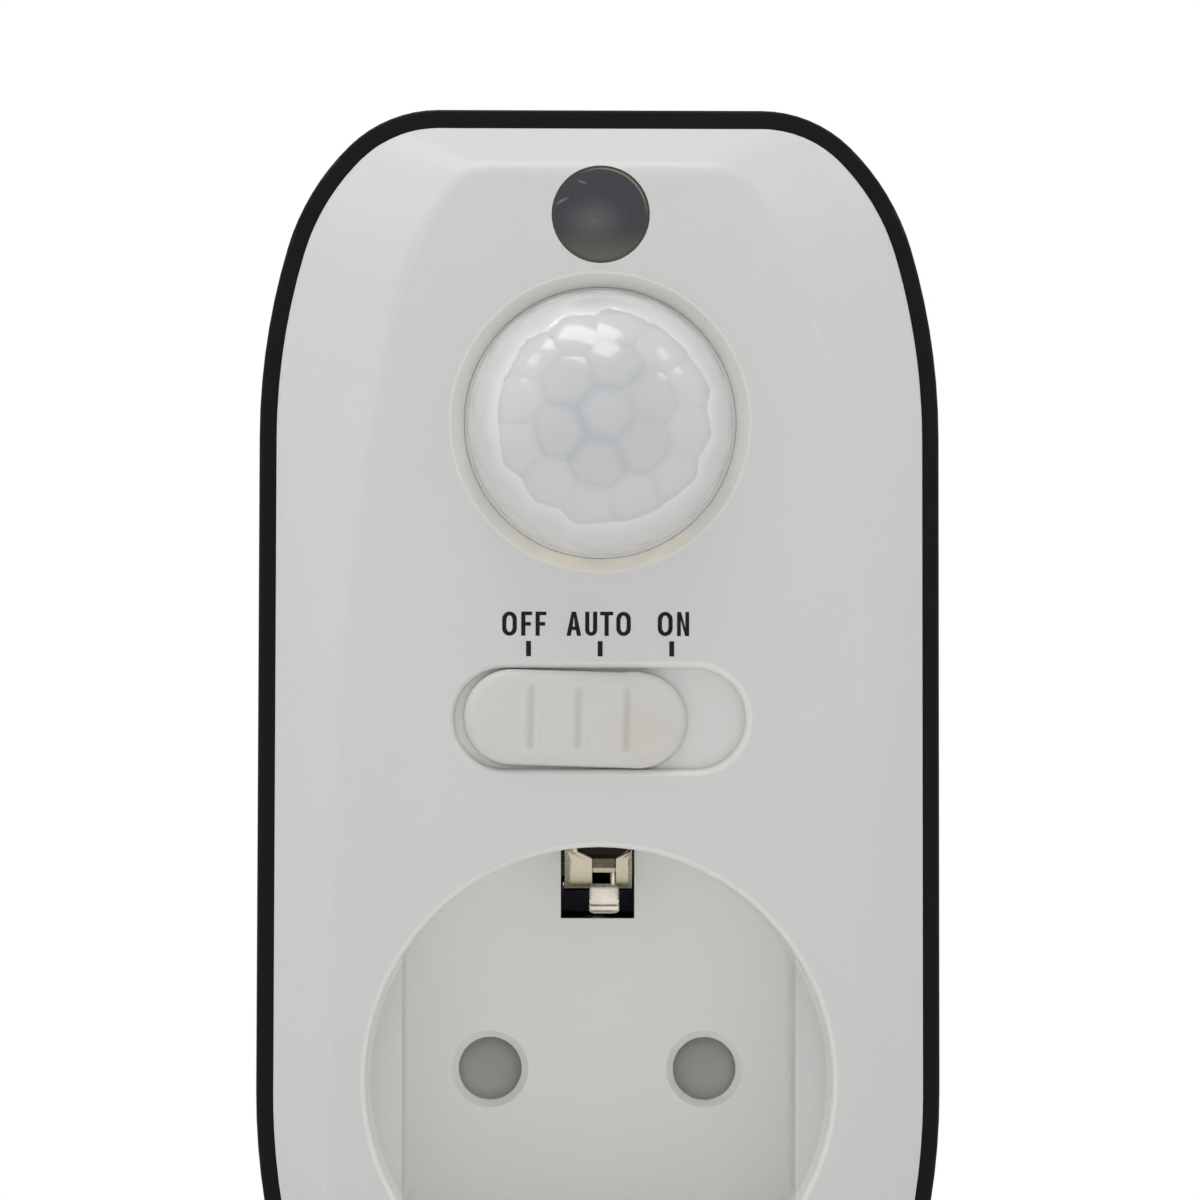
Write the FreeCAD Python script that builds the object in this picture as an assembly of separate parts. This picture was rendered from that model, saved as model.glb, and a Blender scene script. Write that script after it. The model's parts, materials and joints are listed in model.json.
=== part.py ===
import FreeCAD, Part
import math
import os

# A wall plug adapter with a motion sensor. Millimetres, X to the right, Z up, and the front
# faces -Y. The origin lies between the two plug pins, in the end face of the plug boss, and the
# socket in front is on the same axis. "Depth" below is a place along Y, and "across" is along X.

Vector = FreeCAD.Vector

# Housing outline, seen from the front. Each corner runs from the level edge to the upright side
# in three arcs, given by their radii and by the turns in degrees of the first two.
BODY_CORNER_RADII = (11.1, 20.8, 58.7)
BODY_CORNER_TURNS = (44.6, 29.0)
FACE_TOP_RADII = (4.9, 26.1, 276.7)
FACE_TOP_TURNS = (50.3, 28.9)
FACE_BOTTOM_RADII = (8.0, 12.0, 20.0)
FACE_BOTTOM_TURNS = (44.6, 29.0)

# Width of the sloping shoulder round the raised face, and of the face round the socket
SHOULDER_SIDE_WIDTH = 6.7
SHOULDER_TOP_WIDTH = 5.95
SHOULDER_BOTTOM_WIDTH = 5.75
FACE_SIDE_MARGIN = 3.15
FACE_BOTTOM_MARGIN = 4.6

# Gaps up the face: socket to switch, switch to lens, lens to dusk window, window to the shoulder
SWITCH_GAP = 2.2
LETTERING_GAP = 6.1
WINDOW_GAP = 0.5
WINDOW_EDGE_GAP = 0.25

# Depths of the housing, from the plug's end face towards the front
BOSS_DEPTH = 16.8
REAR_DEPTH = 24.2
SKIRT_DEPTH = 2.5
SHOULDER_DEPTH = 6.5

# Walls of the housing
REAR_WALL = 2.6
REAR_FLOOR = 2.4
REAR_EDGE_RADIUS = 3.0
RIM_EDGE_RADIUS = 0.3
RIM_WIDTH = 1.65
RIM_EXTRA_WIDTH_ABOVE = 0.35
FACE_WALL = 2.0
FACE_EDGE_RADIUS = 2.0
SHOULDER_EDGE_RADIUS = 0.8
LIP_CLEARANCE = 0.15
LIP_WALL = 1.0
LIP_DEPTH = 2.5

# Plug boss and pins
BOSS_FLAT_CUT = 2.1
BOSS_WALL = 2.0
BOSS_END = 3.0
BOSS_EDGE_RADIUS = 1.0
PIN_SPACING = 19.0
PIN_DIAMETER = 4.8
PIN_LENGTH = 19.0
PIN_TIP_RADIUS = 1.8
PIN_SEAT_DIAMETER = 5.2
PIN_SEAT_SETBACK = 0.4
PIN_RING_DIAMETER = 8.0
PIN_RING_DEPTH = 0.6
PIN_FLANGE_DIAMETER = 8.0
PIN_FLANGE_THICKNESS = 1.5
PIN_TAIL_DIAMETER = 3.0
PIN_TAIL_LENGTH = 3.5
FIT_CLEARANCE = 0.05

# Socket in the front cover
RECESS_CLEARANCE = 1.4
RECESS_DEPTH = 17.5
RECESS_EDGE_RADIUS = 0.5
RECESS_FLAT_CLEARANCE = 0.5
RECESS_FLAT_DROP = 3.0
WELL_WALL = 1.5
WELL_FLOOR = 2.0
PIN_HOLE_DIAMETER = 5.6
PIN_HOLE_CHAMFER = 0.6

# Earth clips: a strip in the boss groove runs forward into an opening of the recess
GROOVE_WIDTH = 8.0
GROOVE_DEPTH = 2.8
STRIP_THICKNESS = 0.6
STRIP_WIDTH = 6.0
STRIP_END_SETBACK = 1.2
CLIP_WALL_GAP = 1.2
CLIP_DROP = 5.8
CLIP_FLANGE_WIDTH = 2.2
CLIP_TONGUE_WIDTH = 2.5
CLIP_TONGUE_DROP = 2.2
CLIP_TONGUE_LENGTH = 9.0
CLIP_HOLE_WIDTH = 1.8
CLIP_HOLE_HEIGHT = 0.8
CHAMBER_SIDE_GAP = 0.27
CHAMBER_INSIDE = 6.5
CHAMBER_BEHIND = 1.7
CHAMBER_DROP = 3.5
CHAMBER_WALL = 1.2
BRIDGE_MARGIN = 2.35
BRIDGE_GAP = 0.8

# Contacts and their carrier, on the pin flanges
CONTACT_OUTER_DIAMETER = 6.8
CONTACT_WALL = 0.8
CONTACT_SETBACK = 0.5
CONTACT_COLLAR = 2.5
CONTACT_SLIT = 0.8
CONTACT_TAB_WIDTH = 3.0
CONTACT_TAB_THICKNESS = 1.2
CONTACT_TAB_REACH = 2.1
CARRIER_WALL = 0.9
CARRIER_SIDE_GAP = 0.5
CARRIER_BASE = 6.5
CARRIER_EAR_GAP = 0.3
CARRIER_HEAD_GAP = 0.4
CARRIER_EAR_THICKNESS = 3.0
CARRIER_POST_RADIUS = 2.8
CARRIER_POST_LENGTH = 13.0
CARRIER_SCREW_BITE = 8.0
WIRE_CHANNEL_DEPTH = 4.5
WIRE_CHANNEL_WIDTH = 3.2

# Safety shutter behind the socket floor, pushed up by its spring
SHUTTER_THICKNESS = 2.0
SHUTTER_COVERAGE = 0.25
SHUTTER_WINDOW_CLEARANCE = 0.35
SHUTTER_BORDER = 1.4
SHUTTER_CORNER_RADIUS = 2.5
SHUTTER_GAP = 0.1
SHUTTER_BACK_GAP = 0.4
SHUTTER_RAMP_DEPTH = 1.4
SHUTTER_RAIL_WIDTH = 1.2
SHUTTER_RAIL_HALF_LENGTH = 7.0
SHUTTER_LUG_WIDTH = 3.6
SHUTTER_LUG_HEIGHT = 2.0
SHUTTER_LUG_BOTTOM = 3.5
SPRING_DIAMETER = 3.2
SPRING_WIRE = 0.4
SPRING_TURNS = 5
SPRING_LENGTH = 9.3
TROUGH_CLEARANCE = 0.2

# Infrared lens, on the plane of the cover's inner face
LENS_RADIUS = 11.5
LENS_WALL = 0.8
LENS_FLANGE_WIDTH = 1.6
LENS_FLANGE_THICKNESS = 0.8
LENS_CLEARANCE = 0.15
LENS_DISH_WIDTH = 1.1
LENS_DISH_DEPTH = 0.9
LENS_CELL_ANGLE = 13.3
LENS_RING_ANGLES = (0.0, 22.6, 39.1, 45.2, 62.5)
LENS_RING_COUNTS = (1, 6, 6, 6, 15)
LENS_RING_START_ANGLES = (0.0, 9.7, 39.7, 9.7, 15.3)
RETAINER_HEIGHT = 1.2
RETAINER_INNER_GAP = 1.0
RETAINER_OUTER_GAP = 0.3

# Dusk window, light sensor and its shroud
WINDOW_DIAMETER = 8.3
WINDOW_THICKNESS = 2.6
WINDOW_CLEARANCE = 0.05
LIGHT_SENSOR_DIAMETER = 5.0
LIGHT_SENSOR_FLANGE = 5.8
LIGHT_SENSOR_FLANGE_THICKNESS = 1.0
LIGHT_SENSOR_LENGTH = 6.5
SHROUD_WALL = 0.7
SHROUD_CLEARANCE = 0.3

# Slide switch: slot in the cover, knob, lever and frame. At rest the knob stands at OFF.
SLOT_END_GAP = 0.85
SLOT_SIDE_GAP = 0.25
SLOT_DEPTH = 1.1
SLOT_EDGE_RADIUS = 0.6
SLOT_FLOOR = 2.0
SLOT_PAD = 1.5
SWITCH_TRAVEL = 4.2
KNOB_LENGTH = 18.9
KNOB_WIDTH = 8.1
KNOB_PROUD = 0.8
KNOB_GAP = 0.1
KNOB_EDGE_RADIUS = 1.0
KNOB_GROOVE_SPACING = 4.2
KNOB_GROOVE_WIDTH = 0.7
KNOB_GROOVE_DEPTH = 0.35
KNOB_GROOVE_LENGTH = 5.8
STEM_LENGTH = 5.8
STEM_WIDTH = 4.6
STEM_BELOW_FLOOR = 1.4
STEM_CLEARANCE = 0.4
HOOK_LENGTH = 4.0
HOOK_REACH = 0.8
HOOK_THICKNESS = 1.0
HOOK_GAP = 0.2
LEVER_SIZE = 2.6
LEVER_CLEARANCE = 0.1
LEVER_POCKET_DEPTH = 2.0
SLIDER_LENGTH = 6.0
SLIDER_THICKNESS = 1.8
FRAME_LENGTH = 18.0
FRAME_WIDTH = 6.4
FRAME_HEIGHT = 4.6
FRAME_WALL = 0.5

# Circuit board, parallel to the face
BOARD_BELOW_FACE = 10.5
BOARD_THICKNESS = 1.6
BOARD_SIDE_GAP = 2.25
BOARD_POST_GAP = 1.1
BOARD_SOCKET_GAP = 1.8
BOARD_ABOVE_WINDOW = 4.8
BOARD_CORNER = 2.0
BOARD_BOSS_SIDE_INSET = 4.5
BOARD_BOSS_BOTTOM_INSET = 3.7
BOARD_BOSS_RADIUS = 3.0
BOARD_SCREW_BITE = 6.0

# Infrared sensor can
SENSOR_CAN_RADIUS = 4.1
SENSOR_BRIM_RADIUS = 4.55
SENSOR_BRIM_THICKNESS = 0.5
SENSOR_CAN_HEIGHT = 4.2
SENSOR_WINDOW_WIDTH = 4.0
SENSOR_WINDOW_HEIGHT = 3.0
SENSOR_WINDOW_DEPTH = 0.2
SPACER_RADIUS = 5.0
SPACER_BORE_RADIUS = 1.5
SPACER_THICKNESS = 2.0

# Components on the back of the board. Sizes are (across, up, height off the board). Each place is
# measured in from the board's side edge that it names, and up from the lower edge or down from the top.
RELAY_SIZE = (15.5, 19.0, 15.3)
RELAY_LEFT_PLACE = (10.3, 18.3)
DROPPER_SIZE = (18.0, 8.0, 14.0)
DROPPER_RIGHT_PLACE = (16.0, 12.7)
SMOOTHING_DIAMETER = 10.0
SMOOTHING_LENGTH = 15.0
SMOOTHING_RIGHT_PLACE = (19.5, 25.0)
RECTIFIER_SIZE = (6.5, 5.0, 2.8)
RECTIFIER_RIGHT_PLACE = (8.0, 22.5)
VARISTOR_DIAMETER = 9.0
VARISTOR_THICKNESS = 4.0
VARISTOR_LEFT_PLACE = (8.5, 33.0)
FUSE_RESISTOR_DIAMETER = 3.6
FUSE_RESISTOR_LENGTH = 9.0
FUSE_RESISTOR_RIGHT_PLACE = (8.0, 29.0)
CHIP_SIZE = (6.4, 12.0, 3.4)
CHIP_FROM_TOP = 10.0
RESISTOR_DIAMETER = 2.3
RESISTOR_LENGTH = 6.3
RESISTOR_SPACING = 3.6
RESISTOR_COUNT = 4
RESISTOR_FROM_NECK_EDGE = 5.5
RESISTOR_FROM_TOP = 6.2
COMPONENT_EDGE_RADIUS = 0.5

# Screws
SCREW_DIAMETER = 2.9
SCREW_HEAD_DIAMETER = 5.2
SCREW_HEAD_HEIGHT = 1.9
SCREW_SLOT_WIDTH = 0.8
SCREW_SLOT_DEPTH = 0.9
SCREW_HOLE_CLEARANCE = 0.15
CASE_SCREW_UPPER_INSET = (9.5, 14.0)
CASE_SCREW_LOWER_INSET = (11.0, 8.5)
CASE_POST_RADIUS = 3.9
CASE_POST_GAP = 0.5
CASE_COVER_POST_RADIUS = 3.0
CASE_SCREW_WEB = 4.0
CASE_SCREW_BITE = 4.0
CASE_HEAD_CLEARANCE = 0.3

# Wires
WIRE_DIAMETER = 2.0
WIRE_BEND_RADIUS = 2.5
WIRE_WALL_GAP = 0.17
WIRE_STRIP_GAP = 2.0
WIRE_FLOOR_GAP = 4.5
SWITCHED_WIRE_SETBACK = 2.2
WIRE_PAD_INSET = 4.5
SWITCHED_PAD_INSET = 2.5

# Sizes across and up that follow from the values above
PIN_ACROSS = PIN_SPACING / 2
BOSS_HALF_FLAT = PIN_ACROSS + CONTACT_OUTER_DIAMETER / 2 + CARRIER_WALL + CARRIER_SIDE_GAP + BOSS_WALL
BOSS_RADIUS = BOSS_HALF_FLAT + BOSS_FLAT_CUT
GROOVE_FLOOR = BOSS_RADIUS - GROOVE_DEPTH
CARRIER_SCREW_HEIGHT = GROOVE_FLOOR - BOSS_WALL - CARRIER_EAR_GAP - CARRIER_POST_RADIUS
CARRIER_HALF_HEIGHT = CARRIER_SCREW_HEIGHT - SCREW_HEAD_DIAMETER / 2 - CARRIER_HEAD_GAP
RECESS_RADIUS = BOSS_RADIUS + RECESS_CLEARANCE
RECESS_HALF_FLAT = BOSS_HALF_FLAT + RECESS_FLAT_CLEARANCE
CLIP_LEG_HEIGHT = RECESS_RADIUS - CLIP_WALL_GAP
CLIP_FLANGE_END = CLIP_LEG_HEIGHT - CLIP_FLANGE_WIDTH
CLIP_TONGUE_REACH = CLIP_FLANGE_END - CLIP_TONGUE_DROP
CHAMBER_WIDTH = STRIP_WIDTH + 2 * CHAMBER_SIDE_GAP
CHAMBER_INNER = RECESS_RADIUS - CHAMBER_INSIDE
CHAMBER_OUTER = RECESS_RADIUS + CHAMBER_BEHIND
CHAMBER_TOP = CHAMBER_OUTER + CHAMBER_WALL
SHUTTER_WINDOW_RADIUS = PIN_HOLE_DIAMETER / 2 + SHUTTER_WINDOW_CLEARANCE
SHUTTER_TRAVEL = PIN_HOLE_DIAMETER / 2 + SHUTTER_WINDOW_RADIUS + SHUTTER_COVERAGE
SLOT_LENGTH = KNOB_LENGTH + SWITCH_TRAVEL + 2 * SLOT_END_GAP
SLOT_WIDTH = KNOB_WIDTH + 2 * SLOT_SIDE_GAP
SWITCH_HEIGHT = CHAMBER_TOP + SWITCH_GAP + SLOT_PAD + SLOT_WIDTH / 2
LENS_FLANGE_RADIUS = LENS_RADIUS + LENS_FLANGE_WIDTH
RETAINER_RADIUS = LENS_FLANGE_RADIUS + RETAINER_OUTER_GAP
LENS_HEIGHT = SWITCH_HEIGHT + SLOT_WIDTH / 2 + SLOT_PAD + LETTERING_GAP + RETAINER_RADIUS
SHROUD_INNER_RADIUS = LIGHT_SENSOR_FLANGE / 2 + SHROUD_CLEARANCE
SHROUD_RADIUS = SHROUD_INNER_RADIUS + SHROUD_WALL
WINDOW_HEIGHT = LENS_HEIGHT + RETAINER_RADIUS + WINDOW_GAP + SHROUD_RADIUS
FACE_HALF_WIDTH = RECESS_RADIUS + FACE_SIDE_MARGIN
FACE_TOP = WINDOW_HEIGHT + WINDOW_DIAMETER / 2 + WINDOW_EDGE_GAP
FACE_BOTTOM = -RECESS_RADIUS - FACE_BOTTOM_MARGIN
BODY_HALF_WIDTH = FACE_HALF_WIDTH + SHOULDER_SIDE_WIDTH
BODY_TOP = FACE_TOP + SHOULDER_TOP_WIDTH
BODY_BOTTOM = FACE_BOTTOM - SHOULDER_BOTTOM_WIDTH

# Insets from the body outline
LIP_OUTSIDE = REAR_WALL + LIP_CLEARANCE
LIP_INSIDE = LIP_OUTSIDE + LIP_WALL

# Case screws and board, inside that outline
CASE_SCREW_UPPER = (BODY_HALF_WIDTH - CASE_SCREW_UPPER_INSET[0], BODY_TOP - CASE_SCREW_UPPER_INSET[1])
CASE_SCREW_LOWER = (BODY_HALF_WIDTH - CASE_SCREW_LOWER_INSET[0], BODY_BOTTOM + CASE_SCREW_LOWER_INSET[1])
BOARD_HALF_WIDTH = BODY_HALF_WIDTH - LIP_INSIDE - BOARD_SIDE_GAP
BOARD_NECK_HALF_WIDTH = CASE_SCREW_UPPER[0] - CASE_POST_RADIUS - BOARD_POST_GAP
BOARD_NECK = CASE_SCREW_UPPER[1] - CASE_POST_RADIUS - BOARD_POST_GAP
BOARD_BOTTOM = CHAMBER_TOP + BOARD_SOCKET_GAP
BOARD_TOP = WINDOW_HEIGHT + BOARD_ABOVE_WINDOW
BOARD_BOSS_ACROSS = BOARD_HALF_WIDTH - BOARD_BOSS_SIDE_INSET
BOARD_BOSS_HEIGHT = BOARD_BOTTOM + BOARD_BOSS_BOTTOM_INSET

# Depths that follow from the values above
REAR_FACE = -BOSS_DEPTH
REAR_FLOOR_INSIDE = REAR_FACE - REAR_FLOOR
RIM = REAR_FACE - REAR_DEPTH
SKIRT_EDGE = RIM - SKIRT_DEPTH
FACE = SKIRT_EDGE - SHOULDER_DEPTH
FACE_INSIDE = FACE + FACE_WALL
RECESS_FLOOR = FACE + RECESS_DEPTH
RECESS_FLOOR_BACK = RECESS_FLOOR + WELL_FLOOR
BOARD_FRONT = FACE + BOARD_BELOW_FACE
BOARD_BACK = BOARD_FRONT + BOARD_THICKNESS
PIN_FLANGE_FACE = -BOSS_END - PIN_FLANGE_THICKNESS
SHUTTER_FRONT = RECESS_FLOOR_BACK + SHUTTER_GAP
SHUTTER_BACK = SHUTTER_FRONT + SHUTTER_THICKNESS
CARRIER_FRONT = SHUTTER_BACK + SHUTTER_BACK_GAP
CASE_SPLIT = RIM + LIP_DEPTH + CASE_POST_GAP
SLOT_BOTTOM = FACE + SLOT_DEPTH
SLOT_BACK = SLOT_BOTTOM + SLOT_FLOOR
CONTACT_BACK = PIN_FLANGE_FACE - CARRIER_BASE
CONTACT_FRONT = CARRIER_FRONT + CONTACT_SETBACK
TAB_BACK = CONTACT_BACK - CONTACT_COLLAR / 2
TAB_FRONT = TAB_BACK - CONTACT_TAB_THICKNESS
TAB_TOP = CARRIER_HALF_HEIGHT + CONTACT_TAB_REACH

# How far cutting shapes run past what they cut
BEYOND = 1.0

BODY = {
    "half_width": BODY_HALF_WIDTH,
    "top": BODY_TOP,
    "bottom": BODY_BOTTOM,
    "top_corner": (BODY_CORNER_RADII, BODY_CORNER_TURNS),
    "bottom_corner": (BODY_CORNER_RADII, BODY_CORNER_TURNS),
}
COVER = dict(BODY, top=BODY_TOP - RIM_EXTRA_WIDTH_ABOVE)
RAISED_FACE = {
    "half_width": FACE_HALF_WIDTH,
    "top": FACE_TOP,
    "bottom": FACE_BOTTOM,
    "top_corner": (FACE_TOP_RADII, FACE_TOP_TURNS),
    "bottom_corner": (FACE_BOTTOM_RADII, FACE_BOTTOM_TURNS),
}


def corner_arcs(half_width, corner, inset):
    """Three points of each arc of a corner, as (across, distance from the level edge)."""
    radii, turns = corner
    turns = list(turns) + [90.0 - sum(turns)]
    headings = [math.radians(sum(turns[:step])) for step in range(len(turns) + 1)]
    across = half_width
    for radius, start, end in zip(radii, headings, headings[1:]):
        across -= radius * (math.sin(end) - math.sin(start))
    away = 0.0
    arcs = []
    for radius, start, end in zip(radii, headings, headings[1:]):
        centre_across = across - radius * math.sin(start)
        centre_away = away + radius * math.cos(start)
        reach = radius - inset
        middle = (start + end) / 2
        arcs.append([
            (centre_across + reach * math.sin(turn), centre_away - reach * math.cos(turn))
            for turn in (start, middle, end)
        ])
        across = centre_across + radius * math.sin(end)
        away = centre_away - radius * math.cos(end)
    return arcs


def outline(form, inset, depth):
    """Closed wire of a housing outline, drawn in by an inset."""
    upper = corner_arcs(form["half_width"], form["top_corner"], inset)
    lower = corner_arcs(form["half_width"], form["bottom_corner"], inset)
    right = [[Vector(across, depth, form["top"] - away) for across, away in arc] for arc in upper]
    for arc in reversed(lower):
        bottom = form["bottom"]
        right.append([Vector(across, depth, bottom + away) for across, away in reversed(arc)])
    left = [[Vector(-p.x, p.y, p.z) for p in reversed(arc)] for arc in reversed(right)]
    arcs = right + left
    edges = []
    for before, arc in zip([arcs[-1]] + arcs, arcs):
        if before[-1].distanceToPoint(arc[0]) > 1e-6:
            edges.append(Part.makeLine(before[-1], arc[0]))
        edges.append(Part.Arc(*arc).toShape())
    return Part.Wire(edges)


def prism(form, inset, back, front):
    """Solid of a housing outline between two depths."""
    return Part.Face(outline(form, inset, back)).extrude(Vector(0, front - back, 0))


def taper(wire, other_wire):
    """Solid with straight sides between two like outlines."""
    return Part.makeLoft([wire, other_wire], True, True)


def rod(radius, back, front, across=0.0, height=0.0):
    """Round bar along Y."""
    return Part.makeCylinder(radius, back - front, Vector(across, back, height), Vector(0, -1, 0))


def cone(back_radius, front_radius, back, front, across=0.0, height=0.0):
    """Round taper along Y."""
    place = Vector(across, back, height)
    return Part.makeCone(back_radius, front_radius, back - front, place, Vector(0, -1, 0))


def block(across, depth, height):
    """Box from three (low, high) pairs."""
    low = Vector(min(across), min(depth), min(height))
    high = Vector(max(across), max(depth), max(height))
    size = high - low
    return Part.makeBox(size.x, size.y, size.z, low)


def stadium(length, width, back, front, across, height):
    """Long hole or key shape with round ends, lying along X."""
    radius = width / 2
    straight = length / 2 - radius
    right = across + straight
    left = across - straight
    upper = height + radius
    lower = height - radius
    edges = [
        Part.makeLine(Vector(left, back, upper), Vector(right, back, upper)),
        Part.Arc(
            Vector(right, back, upper), Vector(right + radius, back, height), Vector(right, back, lower)
        ).toShape(),
        Part.makeLine(Vector(right, back, lower), Vector(left, back, lower)),
        Part.Arc(
            Vector(left, back, lower), Vector(left - radius, back, height), Vector(left, back, upper)
        ).toShape(),
    ]
    return Part.Face(Part.Wire(edges)).extrude(Vector(0, front - back, 0))


def edges_at_depth(shape, depth):
    """Edges that lie wholly in one plane square to Y."""
    return [
        edge for edge in shape.Edges
        if abs(edge.BoundBox.YMin - depth) < 1e-4 and abs(edge.BoundBox.YMax - depth) < 1e-4
    ]


def rounded(shape, depth, radius, known=()):
    """Fillet on the edges at one depth, apart from those that were there before the last cut."""
    old = [edge.CenterOfMass for edge in known]
    fresh = [
        edge for edge in edges_at_depth(shape, depth)
        if all(edge.CenterOfMass.distanceToPoint(centre) > 1e-4 for centre in old)
    ]
    return shape.makeFillet(radius, fresh)


def cut_with_rounded_rim(shape, cutter, depth, radius):
    """Cut an opening into a flat face and fillet its rim."""
    known = edges_at_depth(shape, depth)
    return rounded(shape.cut(cutter), depth, radius, known)


def joined(shapes):
    """One solid out of overlapping ones."""
    return shapes[0].multiFuse(shapes[1:]).removeSplitter()


def mirrored_down(shape):
    """Copy below the socket axis."""
    return shape.mirror(Vector(0, 0, 0), Vector(0, 0, 1))


def both_ways(shape):
    """The shape and its copy below the socket axis."""
    return [shape, mirrored_down(shape)]


def case_screw_places():
    """(across, height) of the four screws that close the housing."""
    return [
        (side * across, height)
        for across, height in (CASE_SCREW_UPPER, CASE_SCREW_LOWER)
        for side in (-1, 1)
    ]


def screw(head_face, tip, across, height):
    """Pan head screw, driven towards the front, or towards the back where the tip is behind."""
    way = -1 if tip < head_face else 1
    head_back = head_face - way * SCREW_HEAD_HEIGHT
    head_depths = sorted((head_face, head_back), reverse=True)
    shank_depths = sorted((head_face, tip), reverse=True)
    head = rod(SCREW_HEAD_DIAMETER / 2, *head_depths, across, height)
    shank = rod(SCREW_DIAMETER / 2, *shank_depths, across, height)
    drive_depths = (head_back - way * BEYOND, head_back + way * SCREW_SLOT_DEPTH)
    half_slot = SCREW_SLOT_WIDTH / 2
    reach = SCREW_HEAD_DIAMETER
    level = block((across - reach, across + reach), drive_depths, (height - half_slot, height + half_slot))
    upright = block((across - half_slot, across + half_slot), drive_depths, (height - reach, height + reach))
    return joined([head, shank]).cut(level).cut(upright)


def bent_strip(points, thickness, width, end_round=False):
    """Sheet metal strip, centred on X, along straight runs through (depth, height) points."""
    pieces = []
    for start, end in zip(points, points[1:]):
        run = Vector(0, end[0] - start[0], end[1] - start[1])
        length = run.Length
        plate = Part.makeBox(width, length, thickness, Vector(-width / 2, 0, -thickness / 2))
        plate.rotate(Vector(0, 0, 0), Vector(1, 0, 0), math.degrees(math.atan2(run.z, run.y)))
        plate.translate(Vector(0, start[0], start[1]))
        pieces.append(plate)
    bends = points[1:] if end_round else points[1:-1]
    for depth, height in bends:
        place = Vector(-width / 2, depth, height)
        pieces.append(Part.makeCylinder(thickness / 2, width, place, Vector(1, 0, 0)))
    return joined(pieces)


def wire_tube(points, bend_radius):
    """Insulated wire along straight runs that are joined by tangent arcs."""
    points = [Vector(*point) for point in points]
    edges = []
    last = points[0]
    for before, corner, after in zip(points, points[1:], points[2:]):
        back = (before - corner).normalize()
        ahead = (after - corner).normalize()
        half_angle = back.getAngle(ahead) / 2
        setback = bend_radius / math.tan(half_angle)
        arc_start = corner + back * setback
        arc_end = corner + ahead * setback
        inward = (back + ahead).normalize()
        arc_middle = corner + inward * (bend_radius / math.sin(half_angle) - bend_radius)
        edges.append(Part.makeLine(last, arc_start))
        edges.append(Part.Arc(arc_start, arc_middle, arc_end).toShape())
        last = arc_end
    edges.append(Part.makeLine(last, points[-1]))
    heading = points[1] - points[0]
    ring = Part.Wire([Part.makeCircle(WIRE_DIAMETER / 2, points[0], heading)])
    return Part.Wire(edges).makePipeShell([ring], True, False)


def cover_form():
    """Outside of the front cover: upright skirt, sloping shoulder and raised face."""
    skirt = prism(COVER, RIM_WIDTH, RIM, SKIRT_EDGE)
    shoulder = taper(outline(COVER, RIM_WIDTH, SKIRT_EDGE), outline(RAISED_FACE, 0.0, FACE))
    form = joined([skirt, shoulder])
    form = rounded(form, FACE, FACE_EDGE_RADIUS)
    return rounded(form, SKIRT_EDGE, SHOULDER_EDGE_RADIUS)


def cover_hollow():
    """Space inside the front cover, behind its face."""
    inner_edge = SKIRT_EDGE + FACE_WALL / 3
    skirt = prism(BODY, LIP_INSIDE, RIM + LIP_DEPTH, inner_edge)
    shoulder = taper(
        outline(BODY, LIP_INSIDE, inner_edge), outline(RAISED_FACE, FACE_WALL / 2, FACE_INSIDE)
    )
    return joined([skirt, shoulder])


def cover_lip():
    """Ring that drops inside the rear cover's wall."""
    outside = prism(BODY, LIP_OUTSIDE, RIM + LIP_DEPTH, RIM - BEYOND)
    return outside.cut(prism(BODY, LIP_INSIDE, RIM + LIP_DEPTH, RIM - BEYOND))


def socket_well():
    """Cup behind the socket recess, with a chamber for each earth clip."""
    cup = rod(RECESS_RADIUS + WELL_WALL, RECESS_FLOOR_BACK, FACE_INSIDE - FACE_WALL / 2)
    half = CHAMBER_WIDTH / 2 + CHAMBER_WALL
    chamber = block(
        (-half, half),
        (RECESS_FLOOR_BACK, FACE_INSIDE - FACE_WALL / 2),
        (CHAMBER_INNER, CHAMBER_OUTER + CHAMBER_WALL),
    )
    return joined([cup] + both_ways(chamber))


def socket_recess():
    """What is cut away for the socket: round mouth, flat-sided pocket, pin holes, clip openings."""
    mouth = rod(RECESS_RADIUS, FACE + RECESS_FLAT_DROP, FACE - BEYOND)
    pocket = rod(RECESS_RADIUS, RECESS_FLOOR, FACE)
    between_flats = block(
        (-RECESS_HALF_FLAT, RECESS_HALF_FLAT),
        (FACE, RECESS_FLOOR),
        (-RECESS_RADIUS, RECESS_RADIUS),
    )
    cuts = [mouth, pocket.common(between_flats)]
    radius = PIN_HOLE_DIAMETER / 2
    for across in (-PIN_ACROSS, PIN_ACROSS):
        cuts.append(rod(radius, RECESS_FLOOR_BACK + BEYOND, RECESS_FLOOR, across))
        flare = radius + PIN_HOLE_CHAMFER
        cuts.append(cone(radius, flare, RECESS_FLOOR + PIN_HOLE_CHAMFER, RECESS_FLOOR, across))
    clip_opening = block(
        (-CHAMBER_WIDTH / 2, CHAMBER_WIDTH / 2),
        (FACE + CHAMBER_DROP, RECESS_FLOOR_BACK + BEYOND),
        (CHAMBER_INNER, CHAMBER_OUTER),
    )
    return cuts + both_ways(clip_opening)


def shutter_rails():
    """Two rails on the back of the socket floor that guide the shutter."""
    inside = shutter_half_width() + SHUTTER_GAP
    rails = []
    for side in (-1, 1):
        across = (side * inside, side * (inside + SHUTTER_RAIL_WIDTH))
        depths = (RECESS_FLOOR_BACK, SHUTTER_BACK)
        heights = (-SHUTTER_RAIL_HALF_LENGTH, SHUTTER_RAIL_HALF_LENGTH)
        rails.append(block(across, depths, heights))
    return rails


def switch_neck_size():
    """(length, width) of the opening that the knob's stem moves in."""
    length = STEM_LENGTH + SWITCH_TRAVEL + 2 * STEM_CLEARANCE
    width = STEM_WIDTH + 2 * STEM_CLEARANCE
    return length, width


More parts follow.
